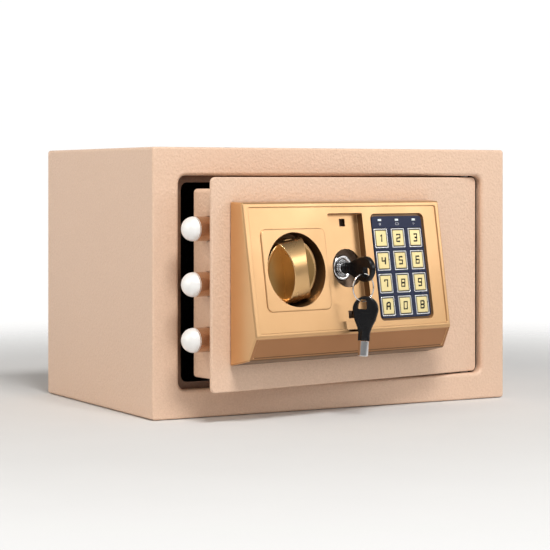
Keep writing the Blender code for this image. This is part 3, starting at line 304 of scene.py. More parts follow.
JACKET = moulded("cell_jacket", (0.05, 0.06, 0.08), 0.28, 0.05, 700.0, 0.06, Coat_Weight=0.4)
FELT = felt("dark_felt", (0.012, 0.012, 0.013))


# ---------------------------------------------------------------- outlines and shapes

def arc(cx, cy, rx, ry, start, end, steps):
    turns = [math.radians(start + (end - start) * i / steps) for i in range(steps + 1)]
    return [(cx + rx * math.cos(t), cy + ry * math.sin(t)) for t in turns]


def rounded(cx, cy, wide, tall, radius, steps=6):
    x, y = wide / 2 - radius, tall / 2 - radius
    corners = ((x, y, 0), (-x, y, 90), (-x, -y, 180), (x, -y, 270))
    return [p for dx, dy, turn in corners
            for p in arc(cx + dx, cy + dy, radius, radius, turn, turn + 90, steps)]


def ring_of(cx, cy, radius, count=48):
    return arc(cx, cy, radius, radius, 0, 360 * (count - 1) / count, count - 1)


def soften(points, radius, steps=3, closed=False):
    """Rounds each corner of a profile over about radius, or less where its sides are short."""
    out = []
    count = len(points)
    for i, here in enumerate(points):
        if not closed and i in (0, count - 1):
            out.append(here)
            continue
        here = Vector(here)
        before, after = Vector(points[i - 1]) - here, Vector(points[(i + 1) % count]) - here
        a = here + before.normalized() * min(radius, 0.45 * before.length)
        b = here + after.normalized() * min(radius, 0.45 * after.length)
        for j in range(steps + 1):
            t = j / steps
            out.append(tuple(a * (1 - t) ** 2 + here * (2 * t * (1 - t)) + b * t ** 2))
    return out


def loft(sections, closed=False):
    """Skins loops of equal count, end to end, with flat ends or closed round on themselves."""
    bm = bmesh.new()
    loops = [[bm.verts.new(p) for p in section] for section in sections]
    count = len(loops[0])
    for low, high in zip(loops, loops[1:] + ([loops[0]] if closed else [])):
        for i in range(count):
            j = (i + 1) % count
            bm.faces.new((low[i], low[j], high[j], high[i]))
    if not closed:
        bm.faces.new(list(reversed(loops[0])))
        bm.faces.new(loops[-1])
    bmesh.ops.recalc_face_normals(bm, faces=bm.faces)
    return bm


def lathe(frame_of, x, y, profile, steps=48):
    """A turned solid: profile is (radius, height), and starts and ends on the axis or closes on itself."""
    turns = [2 * math.pi * i / steps for i in range(steps)]
    bm = bmesh.new()
    rows = []
    for r, h in profile:
        count = steps if r > 1e-6 else 1
        rows.append([bm.verts.new(frame_of @ Vector((x + r * math.cos(t), y + r * math.sin(t), h)))
                     for t in turns[:count]])
    if profile[0][0] > 1e-6:
        rows.append(rows[0])
    for low, high in zip(rows, rows[1:]):
        for i in range(steps):
            j = (i + 1) % steps
            corners = [low[i % len(low)], low[j % len(low)], high[j % len(high)], high[i % len(high)]]
            corners = [v for n, v in enumerate(corners) if v not in corners[:n]]
            bm.faces.new(corners)
    bmesh.ops.recalc_face_normals(bm, faces=bm.faces)
    return bm


def add_object(name, data):
    obj = bpy.data.objects.new(name, data)
    bpy.context.scene.collection.objects.link(obj)
    return obj


def as_mesh(name, bm):
    mesh = bpy.data.meshes.new(name)
    bm.to_mesh(mesh)
    bm.free()
    return mesh


def evaluated(obj):
    """The object's mesh once its modifiers or bevels are applied."""
    bpy.context.view_layer.update()
    mesh = bpy.data.meshes.new_from_object(obj.evaluated_get(bpy.context.evaluated_depsgraph_get()))
    bm = bmesh.new()
    bm.from_mesh(mesh)
    bpy.data.meshes.remove(mesh)
    return bm


def from_curve(curve, splines, cyclic, weld, matrix):
    """The welded mesh of a curve with straight splines, moved by matrix."""
    for points in splines:
        spline = curve.splines.new("POLY")
        spline.points.add(len(points) - 1)
        for point, place in zip(spline.points, points):
            point.co = (*place, 1) if len(place) == 3 else (*place, 0, 1)
        spline.use_cyclic_u = cyclic
    guide = add_object("guide", curve)
    bm = evaluated(guide)
    bmesh.ops.remove_doubles(bm, verts=bm.verts, dist=weld)
    bmesh.ops.transform(bm, matrix=matrix, verts=bm.verts)
    bmesh.ops.recalc_face_normals(bm, faces=bm.faces)
    bpy.data.objects.remove(guide)
    bpy.data.curves.remove(curve)
    return bm


def slab(loops, low, high, frame_of, edge=0.0, edge_steps=3):
    """A flat outline with holes, extruded from low to high, its edges rounded by edge."""
    curve = bpy.data.curves.new("outline", "CURVE")
    curve.dimensions = "2D"
    curve.fill_mode = "BOTH"
    curve.extrude = (high - low) / 2 - edge
    curve.bevel_depth = edge
    curve.bevel_resolution = edge_steps - 1
    curve.offset = -edge
    splines = [list(reversed(loop)) if n else loop for n, loop in enumerate(loops)]
    return from_curve(curve, splines, True, 2e-6, frame_of @ shift(0, 0, (low + high) / 2))


def wire(points, radius, frame_of, flat=1.0, cyclic=False, resolution=2, height=0.0):
    """A round stroke along points, squashed by flat across the frame's z."""
    curve = bpy.data.curves.new("stroke", "CURVE")
    curve.dimensions = "3D"
    curve.bevel_depth = radius
    curve.bevel_resolution = resolution
    curve.use_fill_caps = True
    squash = shift(0, 0, height) @ Matrix.Diagonal((1, 1, flat, 1))
    return from_curve(curve, [points], cyclic, 1e-6, frame_of @ squash)


def rod(frame_of, x, y, low, high, radius, sides=48):
    return lathe(frame_of, x, y, [(0, low), (radius, low), (radius, high), (0, high)], sides)


def box(low, high, place=WORLD):
    centre = [(a + b) / 2 for a, b in zip(low, high)]
    size = [b - a for a, b in zip(low, high)]
    bm = bmesh.new()
    bmesh.ops.create_cube(bm, size=1, matrix=place @ shift(*centre) @ Matrix.Diagonal((*size, 1)))
    return bm


def pocket(outline, deep, lip, frame_of, foot=0.0):
    """A cutter with a rounded mouth and foot. outline(grow) gives its loop grown outwards by grow."""
    levels = [(-foot + foot * math.sin(t), -deep + foot - foot * math.cos(t))
              for t in (math.pi / 8 * i for i in range(5))] if foot else [(0.0, -deep)]
    levels += [(lip - lip * math.cos(t), -lip + lip * math.sin(t))
               for t in (math.pi / 10 * i for i in range(6))]
    levels.append((lip, CUTTER_CLEAR))
    return loft([[frame_of @ Vector((x, y, z)) for x, y in outline(grow)] for grow, z in levels])


def shaped(bm, cuts=(), joins=(), bevel=0.0, segments=3, angle=60):
    """The mesh once its edges are rounded, then other shapes joined on, then others cut out."""
    base = add_object("shape", as_mesh("shape", bm))
    made = [base]
    if bevel:
        modifier = base.modifiers.new("bevel", "BEVEL")
        modifier.width = bevel
        modifier.segments = segments
        modifier.limit_method = "ANGLE"
        modifier.angle_limit = math.radians(angle)
    for operation, others in (("UNION", joins), ("DIFFERENCE", cuts)):
        for other in others:
            made.append(add_object("shape", as_mesh("shape", other)))
            modifier = base.modifiers.new("boolean", "BOOLEAN")
            modifier.operation = operation
            modifier.solver = "EXACT"
            modifier.object = made[-1]
    out = evaluated(base)
    for obj in made:
        mesh = obj.data
        bpy.data.objects.remove(obj)
        bpy.data.meshes.remove(mesh)
    return out


def with_slot(bm, index):
    """The shape with all its faces in one of its piece's material slots."""
    for face in bm.faces:
        face.material_index = index
    return bm


def merged(*shapes):
    """Separate closed shapes in one mesh."""
    total = bmesh.new()
    for bm in shapes:
        mesh = as_mesh("shape", bm)
        total.from_mesh(mesh)
        bpy.data.meshes.remove(mesh)
    return total


def piece(name, bm, materials, body, replaced, sharp=32):
    """Makes the object, rides it on its body and hides the CAD nodes it stands for."""
    bmesh.ops.dissolve_degenerate(bm, dist=1e-7, edges=bm.edges)
    mesh = as_mesh(name, bm)
    mesh.shade_smooth()
    mesh.set_sharp_from_angle(angle=math.radians(sharp))
    for material in materials if isinstance(materials, list) else [materials]:
        mesh.materials.append(material)
    obj = add_object(name, mesh)
    modifier = obj.modifiers.new("weighted_normal", "WEIGHTED_NORMAL")
    modifier.keep_sharp = True
    modifier.weight = 80
    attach(obj, body)
    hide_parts(*replaced)


# ---------------------------------------------------------------- body

def rect_loop(half_wide, half_tall, radius, y, cx=0.0, place=WORLD, steps=6):
    return [place @ Vector((cx + px, y, MID_Z + pz))
            for px, pz in rounded(0, 0, 2 * half_wide, 2 * half_tall, radius, steps)]


def make_body():
    hw, hh = WIDTH / 2, HEIGHT / 2
    ow, oh = OPEN_HALF_WIDE, OPEN_HALF_TALL
    back, inner = DEPTH / 2, LIP - SHEET
    corner, mouth, bend = 2.5 * MM, 6 * MM, 0.8 * MM
    rows = [(hw, hh, corner, back)]
    for px, py in arc(0, 0, EDGE_RADIUS, EDGE_RADIUS, 0, 90, 6):
        shrink = EDGE_RADIUS - px
        rows.append((hw - shrink, hh - shrink, corner - shrink, FRONT + EDGE_RADIUS - py))
    for px, py in arc(0, 0, LIP, LIP, 90, 0, 8):
        grow = LIP - px
        rows.append((ow + grow, oh + grow, mouth + grow, FRONT + LIP - py))
    rows += [(ow, oh, mouth, FRONT + REBATE), (ow + SHEET, oh + SHEET, mouth + SHEET, FRONT + REBATE)]
    for px, py in arc(0, 0, inner, inner, 0, 90, 4):
        grow = LIP - px
        rows.append((ow + grow, oh + grow, mouth + grow, FRONT + LIP - py))
    rows += [(hw - SHEET, hh - SHEET, bend, FRONT + SHEET), (hw - SHEET, hh - SHEET, bend, back)]
    holes = [rod(WORLD, side * ANCHOR_SPACING / 2, 10 * MM, -5 * MM, 8 * MM, ANCHOR_RADIUS)
             for side in (-1, 1)]
    case = shaped(loft([rect_loop(*row) for row in rows], closed=True), cuts=holes)
    case.normal_update()
    # Faces inside the case, behind the rebate, are near-black; the rest take the coat.
    for face in case.faces:
        x, y, z = face.calc_center_median()
        n = face.normal
        facing_in = -n.x * x - n.z * (z - MID_Z) > 0.3 * abs(n.x * x) + 1e-5 or n.y > 0.5
        inside = facing_in and FRONT + REBATE - 0.1 * MM < y < back - 0.1 * MM
        face.material_index = 1 if inside else 0
    piece("case", case, [COAT, INSIDE_NEAR_BLACK], "body", ["body_shell"])
    rear = shift(0, DEPTH / 2, 0) @ spin(QUARTER, "X")
    outline = rounded(0, MID_Z, WIDTH - 2 * SHEET - 2 * GAP, HEIGHT - 2 * SHEET - 2 * GAP, 1 * MM)
    holes = [ring_of(side * ANCHOR_SPACING / 2, MID_Z, ANCHOR_RADIUS) for side in (-1, 1)]
    panel = slab([outline] + holes, 0, SHEET, rear, 0.35 * MM)
    panel.normal_update()
    # The rear wall's inner face is near-black.
    for face in panel.faces:
        face.material_index = 1 if face.normal.y < -0.5 else 0
    piece("rear_wall", panel, [COAT, INSIDE_NEAR_BLACK], "body", ["back_panel"])
    low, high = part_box("floor_mat")
    top = shift((low.x + high.x) / 2, (low.y + high.y) / 2, 0)
    mat = slab([rounded(0, 0, high.x - low.x, high.y - low.y, 4 * MM)], low.z, high.z, top, 0.8 * MM)
    piece("felt_mat", mat, FELT, "body", ["floor_mat"])


# ---------------------------------------------------------------- door

def bolt_frames():
    """A frame for each bolt from the top one down, with Z along the bolt and away from its end."""
    return [DOOR @ shift(0, BOLT_Y, MID_Z + i * BOLT_PITCH) @ spin(QUARTER, "Y") for i in (1, 0, -1)]


def make_door():
    cx = (PLATE_LEFT + PLATE_RIGHT) / 2
    outline = rounded(cx, MID_Z, PLATE_RIGHT - PLATE_LEFT, PLATE_TOP - PLATE_BOTTOM, 4 * MM, 10)
    holes = [ring_of(KNOB_X, KNOB_Z, SPINDLE_HOLE), ring_of(LOCK_X, LOCK_Z, BARREL_RADIUS + GAP)]
    plate = slab([outline] + holes, -PLATE_THICK, 0, PLATE, 0.9 * MM, 5)
    lugs = []
    for flip in (1, -1):
        low, high = sorted((MID_Z + flip * LUG_LOW, MID_Z + flip * LUG_HIGH))
        upright = DOOR @ shift(PIVOT.x, PIVOT.y, 0)
        body = box((LUG_LEFT, PLATE_BACK - 0.6 * MM, low), (LUG_RIGHT, PIVOT.y + 5.5 * MM, high), DOOR)
        lugs.append(shaped(body, [rod(upright, 0, 0, low - 2 * MM, high + 2 * MM, PIN_RADIUS + 0.12 * MM)],
                           bevel=0.5 * MM))
    piece("door_face", shaped(plate, joins=lugs), COAT, "door", ["door_plate"])
    hw = (PLATE_RIGHT - PLATE_LEFT) / 2 - BOX_INSET
    hh = (PLATE_TOP - PLATE_BOTTOM) / 2 - BOX_INSET
    near = PLATE_BACK + GAP
    rows = [(hw, hh, 3 * MM, near), (hw, hh, 3 * MM, BOX_BACK - 0.8 * MM)]
    rows += [(hw - 0.8 * MM + px, hh - 0.8 * MM + px, 2.2 * MM + px, BOX_BACK - 0.8 * MM + py)
             for px, py in arc(0, 0, 0.8 * MM, 0.8 * MM, 18, 90, 4)]
    rows += [(hw - BOX_SHEET, hh - BOX_SHEET, 1.5 * MM, y) for y in (BOX_BACK, near)]
    skin = loft([rect_loop(*row, cx=cx, place=DOOR) for row in rows], closed=True)
    holes = [rod(sideways, 0, 0, cx - hw - 3 * MM, cx - hw + 4 * MM, BOLT_RADIUS + GAP, 64)
             for sideways in bolt_frames()]
    piece("door_skirt", shaped(skin, holes), COAT, "door", ["door_box"])
    # A drawn bar with a domed end and a fine turned line where the dome begins. The dome is near-white as a
    # painted highlight, and the side golden-brown as a painted reflection of the gold and coat round it.
    tip, tail, r = BOLT_TIP, BOLT_TIP + BOLT_LENGTH, BOLT_RADIUS
    rim = tip + BOLT_DOME
    profile = [(0, tip)]
    profile += [(r - BOLT_DOME + px, rim - py) for px, py in arc(0, 0, BOLT_DOME, BOLT_DOME, 90, 0, 16)]
    profile += [(r, rim + 0.35 * MM), (r - 0.3 * MM, rim + 0.5 * MM), (r - 0.3 * MM, rim + 0.8 * MM),
                (r, rim + 0.95 * MM), (r, tail - 0.6 * MM), (r - 0.6 * MM, tail), (0, tail)]
    axis = DOOR.to_3x3() @ Vector((-1, 0, 0))
    for i, sideways in enumerate(bolt_frames()):
        bar = lathe(sideways, 0, 0, profile, 72)
        bar.normal_update()
        for face in bar.faces:
            face.material_index = 1 if face.normal.dot(axis) > 0.03 else 0
        piece(f"bolt_bar_{i + 1}", bar, [BOLT_SIDE_PAINTED_REFLECTION, BOLT_END_PAINTED_HIGHLIGHT], "bolts", [f"lock_bolt_{i + 1}"],
              40)


def make_rear():
    """The closing panel, its screws, the battery cover and the reset button, seen with the door open."""
    cx = (PLATE_LEFT + PLATE_RIGHT) / 2
    wide = PLATE_RIGHT - PLATE_LEFT - 2 * (BOX_INSET + BOX_SHEET + GAP)
    tall = PLATE_TOP - PLATE_BOTTOM - 2 * (BOX_INSET + BOX_SHEET + GAP)
    screws = [(cx + sx * (wide / 2 - SCREW_INSET), MID_Z + sz * (tall / 2 - SCREW_INSET))
              for sx in (-1, 1) for sz in (-1, 1)]
    back = PLATE_FRONT - BOX_BACK
    cover_high = back + 2.6 * MM
    cover_low = cover_high - 1.6 * MM
    loops = [rounded(cx, MID_Z, wide, tall, 1.2 * MM),
             rounded(BATTERY_X, BATTERY_Z, 53 * MM, 64 * MM, 2 * MM), ring_of(RESET_X, RESET_Z, 3.6 * MM)]
    loops += [ring_of(x, z, SCREW_HOLE, 24) for x, z in screws]
    piece("rear_panel", slab(loops, cover_low, cover_high, PLATE, 0.3 * MM), COAT, "door",
          ["rear_cover"])
    for i, (x, z) in enumerate(screws):
        head = cover_low - 1.7 * MM
        profile = [(0, cover_high + 8 * MM), (1.4 * MM, cover_high + 7.4 * MM), (1.4 * MM, cover_low - GAP),
                   (3 * MM, cover_low - GAP), (2.9 * MM, cover_low - 0.9 * MM), (2 * MM, head + 0.2 * MM),
                   (0, head)]
        turn = PLATE @ shift(x, z, 0) @ spin(0.5 * i, "Z")
        cross = [box((-a, -b, head - 1 * MM), (a, b, head + 1 * MM), turn)
                 for a, b in ((1.6 * MM, 0.3 * MM), (0.3 * MM, 1.6 * MM))]
        body = lathe(PLATE, x, z, soften(profile, 0.25 * MM), 32)
        piece(f"panel_screw_{i + 1}", shaped(body, cross), ZINC, "door", [f"cover_screw_{i + 1}"])
    low = back + 1 * MM - GAP
    # The lid has three ribs for the thumb and an arrow the way it slides.
    ribs = [slab([rounded(BATTERY_X, (102.6 + 3 * i) * MM, 18 * MM, 1.3 * MM, 0.6 * MM)],
                 low - 3.0 * MM, low - 1 * MM, PLATE, 0.35 * MM) for i in range(3)]
    arrow = [(77 * MM, 98 * MM), (BATTERY_X, 92 * MM), (85 * MM, 98 * MM)]
    ribs.append(slab([arrow], low - 2.2 * MM, low - 1 * MM, PLATE, 0.25 * MM))
    lid = slab([rounded(BATTERY_X, BATTERY_Z, 59 * MM, 70 * MM, 3 * MM)], low - 1.8 * MM, low, PLATE,
               0.5 * MM)
    piece("battery_lid", shaped(lid, joins=ribs), TRAY, "battery_door", ["battery_cover"])
    profile = [(0, back + 9 * MM), (4.6 * MM, back + 9 * MM), (4.6 * MM, back + 4.8 * MM),
               (3 * MM, back + 4.8 * MM), (3 * MM, back - 0.4 * MM), (2.4 * MM, back - 1.1 * MM),
               (0, back - 1.0 * MM)]
    piece("reset_cap", lathe(PLATE, RESET_X, RESET_Z, soften(profile, 0.4 * MM), 40), RED, "reset",
          ["reset_button"])


# ---------------------------------------------------------------- control housing

def house_body(shrink):
    """The housing's wedge, or the hollow in it when shrunk by the wall."""
    outline = [(GAP, HOUSE_BOTTOM), (CHIN_H, CHIN_Z), (FACE_BOTTOM_H, FACE_BOTTOM_Z),
               (FACE_TOP_H, FACE_TOP_Z), (GAP, HOUSE_TOP)]
    sections = []
    for side, edge in ((1, HOUSE_LEFT), (-1, HOUSE_RIGHT)):
        row = []
        for h, z in outline:
            dz = shrink if z < MID_Z else -shrink
            height = -3 * MM if shrink and h == GAP else h - shrink * (1.05 if z > MID_Z else 1.25)
            row.append(PLATE @ Vector((edge + side * (shrink + HOUSE_DRAFT * h), z + dz, height)))
        sections.append(row)
    return loft(sections)


def face_rect(x0, x1, z0, z1, radius, steps=5):
    def outline(grow):
        v0, v1 = face_v(z0), face_v(z1)
        return rounded((x0 + x1) / 2, (v0 + v1) / 2, x1 - x0 + 2 * grow, v1 - v0 + 2 * grow,
                       radius + grow, steps)
    return outline


def centred_rect(cx, cy, wide, tall, radius, steps=5):
    def outline(grow):
        return rounded(cx, cy, wide + 2 * grow, tall + 2 * grow, radius + grow, steps)
    return outline


def plug_of(outline, low, high):
    """A straight plug square to the face."""
    return loft([[FACE @ Vector((x, v, n)) for x, v in outline] for n in (low, high)])


def make_housing():
    pad_v = face_v(PAD_Z)
    strip = face_rect(STRIP_LEFT - 1.8 * MM, STRIP_RIGHT + 1.8 * MM, STRIP_BOTTOM_Z - 6 * MM,
                      STRIP_TOP_Z + 1.8 * MM, 1 * MM, 1)
    walls = [rod(PLATE, KNOB_X, WELL_Z, -5 * MM, 40 * MM, WELL_RADIUS + 2 * MM, 72),
             plug_of(strip(0), -STRIP_DEEP - 2.2 * MM, 10 * MM),
             plug_of(rounded(PAD_X, pad_v, PAD_WIDE + 3 * MM, PAD_TALL + 3 * MM, 4 * MM, 2),
                     -PAD_DEEP - 2.4 * MM, 10 * MM)]
    hollow = shaped(house_body(HOUSE_WALL), walls)
    frame_v = face_v(WELL_Z)
    mid = (STRIP_LEFT + STRIP_RIGHT) / 2 + 1.6 * MM
    # The well is square to the door, and opens through the leaning face.
    well = [(0, WELL_FLOOR_H), (WELL_RADIUS - 1.2 * MM, WELL_FLOOR_H), (WELL_RADIUS, WELL_FLOOR_H + 1.2 * MM),
            (WELL_RADIUS, 40 * MM), (0, 40 * MM)]
    # The sunk field leaves a raised square with soft edges round the well.
    square = slab([rounded(KNOB_X, frame_v, KNOB_FRAME, KNOB_FRAME, 5 * MM, 10)], -2.6 * MM, -0.05 * MM, FACE,
                  0.75 * MM, 5)
    field = pocket(face_rect(-111 * MM, 73.4 * MM, 65.5 * MM, 155.8 * MM, 1.5 * MM), 0.9 * MM,
                   0.5 * MM, FACE, 0.2 * MM)
    cuts = [hollow, shaped(field, [square]),
            lathe(PLATE, KNOB_X, WELL_Z, soften(well, 0.5 * MM), 96),
            rod(PLATE, KNOB_X, KNOB_Z, -4 * MM, 8 * MM, SPINDLE_BORE),
            pocket(face_rect(STRIP_LEFT, STRIP_RIGHT, STRIP_BOTTOM_Z, STRIP_TOP_Z, 1 * MM), STRIP_DEEP,
                   0.0001 * MM, FACE, 0.4 * MM),
            rod(PLATE, LOCK_X + 0.6 * MM, LOCK_Z, -4 * MM, 40 * MM, LOCK_HOLE_RADIUS, 64)]
    for z in STRIP_HOLES_Z:
        hole = rounded(mid, face_v(z), 5.6 * MM, 5.8 * MM, 0.5 * MM, 3)
        cuts.append(plug_of(hole, -STRIP_DEEP - 6 * MM, 0))
    cuts += [plug_of(rounded(mid, face_v(NOTCH_Z), 22 * MM, 12 * MM, 3 * MM, 6), -4.5 * MM, 8 * MM),
             pocket(centred_rect(PAD_X, pad_v, PAD_WIDE, PAD_TALL, 4 * MM, 8), PAD_DEEP, 1.6 * MM, FACE,
                    0.3 * MM),
             plug_of(rounded(PAD_X, pad_v - 4 * MM, WINDOW_WIDE, WINDOW_TALL, 2 * MM, 3), -20 * MM, 0)]
    # The chin has a sunk panel inside a narrow rim.
    rise, run = FACE_BOTTOM_Z - CHIN_Z, FACE_BOTTOM_H - CHIN_H
    chin = PLATE @ shift(0, (CHIN_Z + FACE_BOTTOM_Z) / 2, (CHIN_H + FACE_BOTTOM_H) / 2)
    chin = chin @ spin(math.atan2(run, rise), "X")
    inset = centred_rect((HOUSE_LEFT + HOUSE_RIGHT) / 2, 0.3 * MM, HOUSE_RIGHT - HOUSE_LEFT - 9.4 * MM,
                         math.hypot(rise, run) - 4.4 * MM, 1.2 * MM)
    cuts.append(pocket(inset, 0.5 * MM, 0.35 * MM, chin, 0.1 * MM))
    shell = shaped(house_body(0), cuts, bevel=1.3 * MM, segments=5, angle=20)
    # The chin and the underside get a darker gold as painted shade, and the well, the strip and the pocket
    # under the film a near-brown gold as painted shadow; the rounded edges between keep the plain gold.
    shell.normal_update()
    to_plate, to_face = PLATE.inverted(), FACE.inverted()
    for face in shell.faces:
        across, tip, out = to_plate.to_3x3() @ face.normal
        x, z, h = to_plate @ face.calc_center_median()
        v, n = (to_face @ face.calc_center_median()).yz
        from_axis = math.hypot(x - KNOB_X, z - WELL_Z)
        well_wall = from_axis > WELL_RADIUS - 1.5 * MM and abs(out) < 0.5
        in_well = from_axis < WELL_RADIUS + 0.1 * MM and (h < WELL_FLOOR_H + 1.3 * MM or well_wall)
        wall = -STRIP_DEEP < n < -0.3 * MM and across < -0.8
        in_strip = (STRIP_LEFT - 1 * MM < x < STRIP_RIGHT + 1 * MM
                    and (wall or n < -STRIP_DEEP - 0.3 * MM))
        under_film = (abs(n + PAD_DEEP) < 0.1 * MM and abs(x - PAD_X) < PAD_WIDE / 2
                      and abs(v - pad_v) < PAD_TALL / 2)
        shaded_chin_or_underside = -0.48 < tip < -0.4 or tip < -0.9
        shadowed_recess = h > 0 and (in_well or in_strip or under_film)
        face.material_index = 2 if shadowed_recess else int(shaded_chin_or_underside)
    piece("control_housing", shell, [GOLD, GOLD_PAINTED_SHADE, GOLD_PAINTED_SHADOW], "door", ["panel_housing"], 28)


# ---------------------------------------------------------------- knob

def make_knob():
    knob_frame = PLATE @ shift(KNOB_X, KNOB_Z, 0) @ spin(KNOB_LEAN, "Z")
    rim = [(0, KNOB_BACK_H), (KNOB_RADIUS, KNOB_BACK_H), (KNOB_RADIUS, KNOB_DISC_H),
           (KNOB_RADIUS - 1.6 * MM, KNOB_DISC_H), (KNOB_RADIUS - 2.4 * MM, KNOB_DISC_H - 0.5 * MM),
           (0, KNOB_DISC_H - 0.9 * MM)]
    disc = lathe(knob_frame, 0, 0, soften(rim, 1.1 * MM, 4), 96)
    reach, rise, base = KNOB_RADIUS - 0.6 * MM, KNOB_TOP_H - KNOB_DISC_H, KNOB_DISC_H - 3 * MM
    sections = []
    for i in range(33):
        t = math.pi * (i / 32 - 0.5)
        y, top = reach * math.sin(t), KNOB_DISC_H - 0.8 * MM + (rise + 0.8 * MM) * math.cos(t)
        half = GRIP_HALF + GRIP_SCOOP - math.sqrt(GRIP_SCOOP ** 2 - y ** 2)
        foot = 0.4 * MM
        side = [(half + foot, base), (half + 0.55 * foot, base + 0.35 * (top - base)),
                (half + 0.15 * foot, base + 0.7 * (top - base)), (half, top)]
        profile = [(-x, h) for x, h in side] + [(x, h) for x, h in reversed(side)]
        # The crest is crowned, so that its edges are soft and its middle is highest.
        profile = soften(profile, 0.8 * MM, 4)
        sections.append([knob_frame @ Vector((x, y, h)) for x, h in profile])
    knob = shaped(disc, joins=[loft(sections)])
    knob.normal_update()
    to_knob = knob_frame.inverted()
    for face in knob.faces:
        out, h = (to_knob.to_3x3() @ face.normal).z, (to_knob @ face.calc_center_median()).z
        # The disc's flat front beside the grip takes the darker gold as painted shade.
        face.material_index = 1 if out > 0.9 and h < KNOB_DISC_H - 0.1 * MM else 0
    piece("turn_knob", knob, [GOLD_KNOB, GOLD_DISC_PAINTED_SHADE], "knob", ["knob"], 38)


# ---------------------------------------------------------------- keypad

def key_places():
    legends = ("1", "2", "3", "4", "5", "6", "7", "8", "9", "a", "0", "b")
    for i, legend in enumerate(legends):
        row, column = divmod(i, 3)
        yield legend, PAD_X + (column - 1) * KEY_PITCH_X, KEY_ROW_TOP_V - row * KEY_PITCH_V


# Each legend as strokes on a grid 1 wide and 2 tall, in the squared style of a digital display.
STROKES = {
    "0": [[(0, 0), (0, 2), (1, 2), (1, 0), (0, 0)]],
    "1": [[(0.25, 1.55), (0.62, 2), (0.62, 0)]],
    "2": [[(0, 1.7), (0, 2), (1, 2), (1, 1.05), (0, 0.9), (0, 0), (1, 0)]],
    "3": [[(0, 2), (1, 2), (1, 0), (0, 0)], [(0.3, 1), (1, 1)]],
    "4": [[(0, 2), (0, 0.95), (1, 0.95)], [(1, 2), (1, 0)]],
    "5": [[(1, 2), (0, 2), (0, 1.05), (1, 1.05), (1, 0), (0, 0)]],
    "6": [[(1, 2), (0, 2), (0, 0), (1, 0), (1, 1.05), (0, 1.05)]],
    "7": [[(0.05, 1.5), (0.05, 2), (0.95, 2), (0.95, 0)]],
    "8": [[(0, 0), (0, 2), (1, 2), (1, 0), (0, 0)], [(0, 1), (1, 1)]],
    "9": [[(0, 0), (1, 0), (1, 2), (0, 2), (0, 1), (1, 1)]],
    "a": [[(0, 0), (0, 1.7), (0.3, 2), (0.8, 2), (1, 1.8), (1, 0)], [(0, 0.95), (1, 0.95)]],
    "b": [[(0, 0), (0, 2), (0.8, 2), (1, 1.8), (1, 1.2), (0.82, 1), (1, 0.8), (1, 0.2), (0.8, 0), (0, 0)],
          [(0, 1), (0.82, 1)]],
}


def make_keypad():
    pad_v = face_v(PAD_Z)
    floor = -PAD_DEEP + GAP
    top = floor + OVERLAY_THICK
    loops = [rounded(PAD_X, pad_v, OVERLAY_WIDE, OVERLAY_TALL, 3 * MM)]
    loops += [rounded(x, v, KEY_WIDE + 0.8 * MM, KEY_TALL + 0.8 * MM, 1 * MM, 3) for _, x, v in key_places()]
    leds = [(PAD_X + (i - 1) * KEY_PITCH_X, LED_V) for i in range(3)]
    loops += [rounded(x, v, 3.9 * MM, 2.2 * MM, 0.2 * MM, 2) for x, v in leds]
    film = slab(loops, floor, top, FACE, 0.15 * MM, 2)
    # A plain sign under each window: a ring, a cell outline and a triangle.
    v = LED_V - 3.1 * MM
    cell_x = leds[1][0]
    terminal = [(cell_x + 1.85 * MM, v - 0.35 * MM), (cell_x + 1.85 * MM, v + 0.35 * MM)]
    play = [(leds[2][0] + a * MM, v + b * MM) for a, b in ((-0.7, -0.8), (0.9, 0), (-0.7, 0.8))]
    lines = [(ring_of(leds[0][0], v, 0.75 * MM, 20), True),
             (rounded(cell_x, v, 3.0 * MM, 1.5 * MM, 0.25 * MM, 2), True), (terminal, False), (play, True)]
    signs = [with_slot(wire(line, SIGN_WIRE, FACE, 0.5, closed, 1, top), 1) for line, closed in lines]
    piece("keypad_film", merged(film, *signs), [NAVY, PALE_INK], "door", ["keypad_overlay"], 40)
    for i, (x, v) in enumerate(leds):
        lens = slab([rounded(x, v, 3.3 * MM, 1.6 * MM, 0.25 * MM, 3)], floor, top + 0.25 * MM, FACE,
                    0.2 * MM)
        piece(f"window_{i + 1}", lens, LENS, "door", [f"led_lens_{i + 1}"])
    for legend, x, v in key_places():
        high = -KEY_SUNK
        stem = slab([rounded(x, v, KEY_WIDE - 0.6 * MM, KEY_TALL - 0.6 * MM, 0.8 * MM, 3)], -KEY_DEEP,
                    high - 0.9 * MM, FACE)
        bezel = slab([rounded(x, v, KEY_WIDE, KEY_TALL, 0.9 * MM),
                      rounded(x, v, KEY_WIDE - 1.8 * MM, KEY_TALL - 1.8 * MM, 0.5 * MM)],
                     high - 1.5 * MM, high - 0.1 * MM, FACE, 0.3 * MM, 4)
        pad = slab([rounded(x, v, KEY_WIDE - 3.1 * MM, KEY_TALL - 3.1 * MM, 0.5 * MM)], high - 1.4 * MM,
                   high, FACE, 0.3 * MM, 4)
        marks = []
        wide, tall = LEGEND_WIDE, LEGEND_HALF
        for stroke in STROKES[legend]:
            points = [(x + (a - 0.5) * wide + (b - 1) * tall * LEGEND_SLANT, v + (b - 1) * tall)
                      for a, b in stroke]
            closed = points[0] == points[-1]
            line = points[:-1] if closed else points
            marks.append(with_slot(wire(line, LEGEND_WIRE, FACE, 0.22, closed, 1, high), 2))
        key = merged(with_slot(stem, 3), with_slot(bezel, 0), with_slot(pad, 1), *marks)
        piece(f"pad_key_{legend}", key, [SILVER, KEY_GOLD, INK, NAVY], f"button_{legend}",
              [f"key_{legend}"], 40)


# ---------------------------------------------------------------- lock, keys and ring

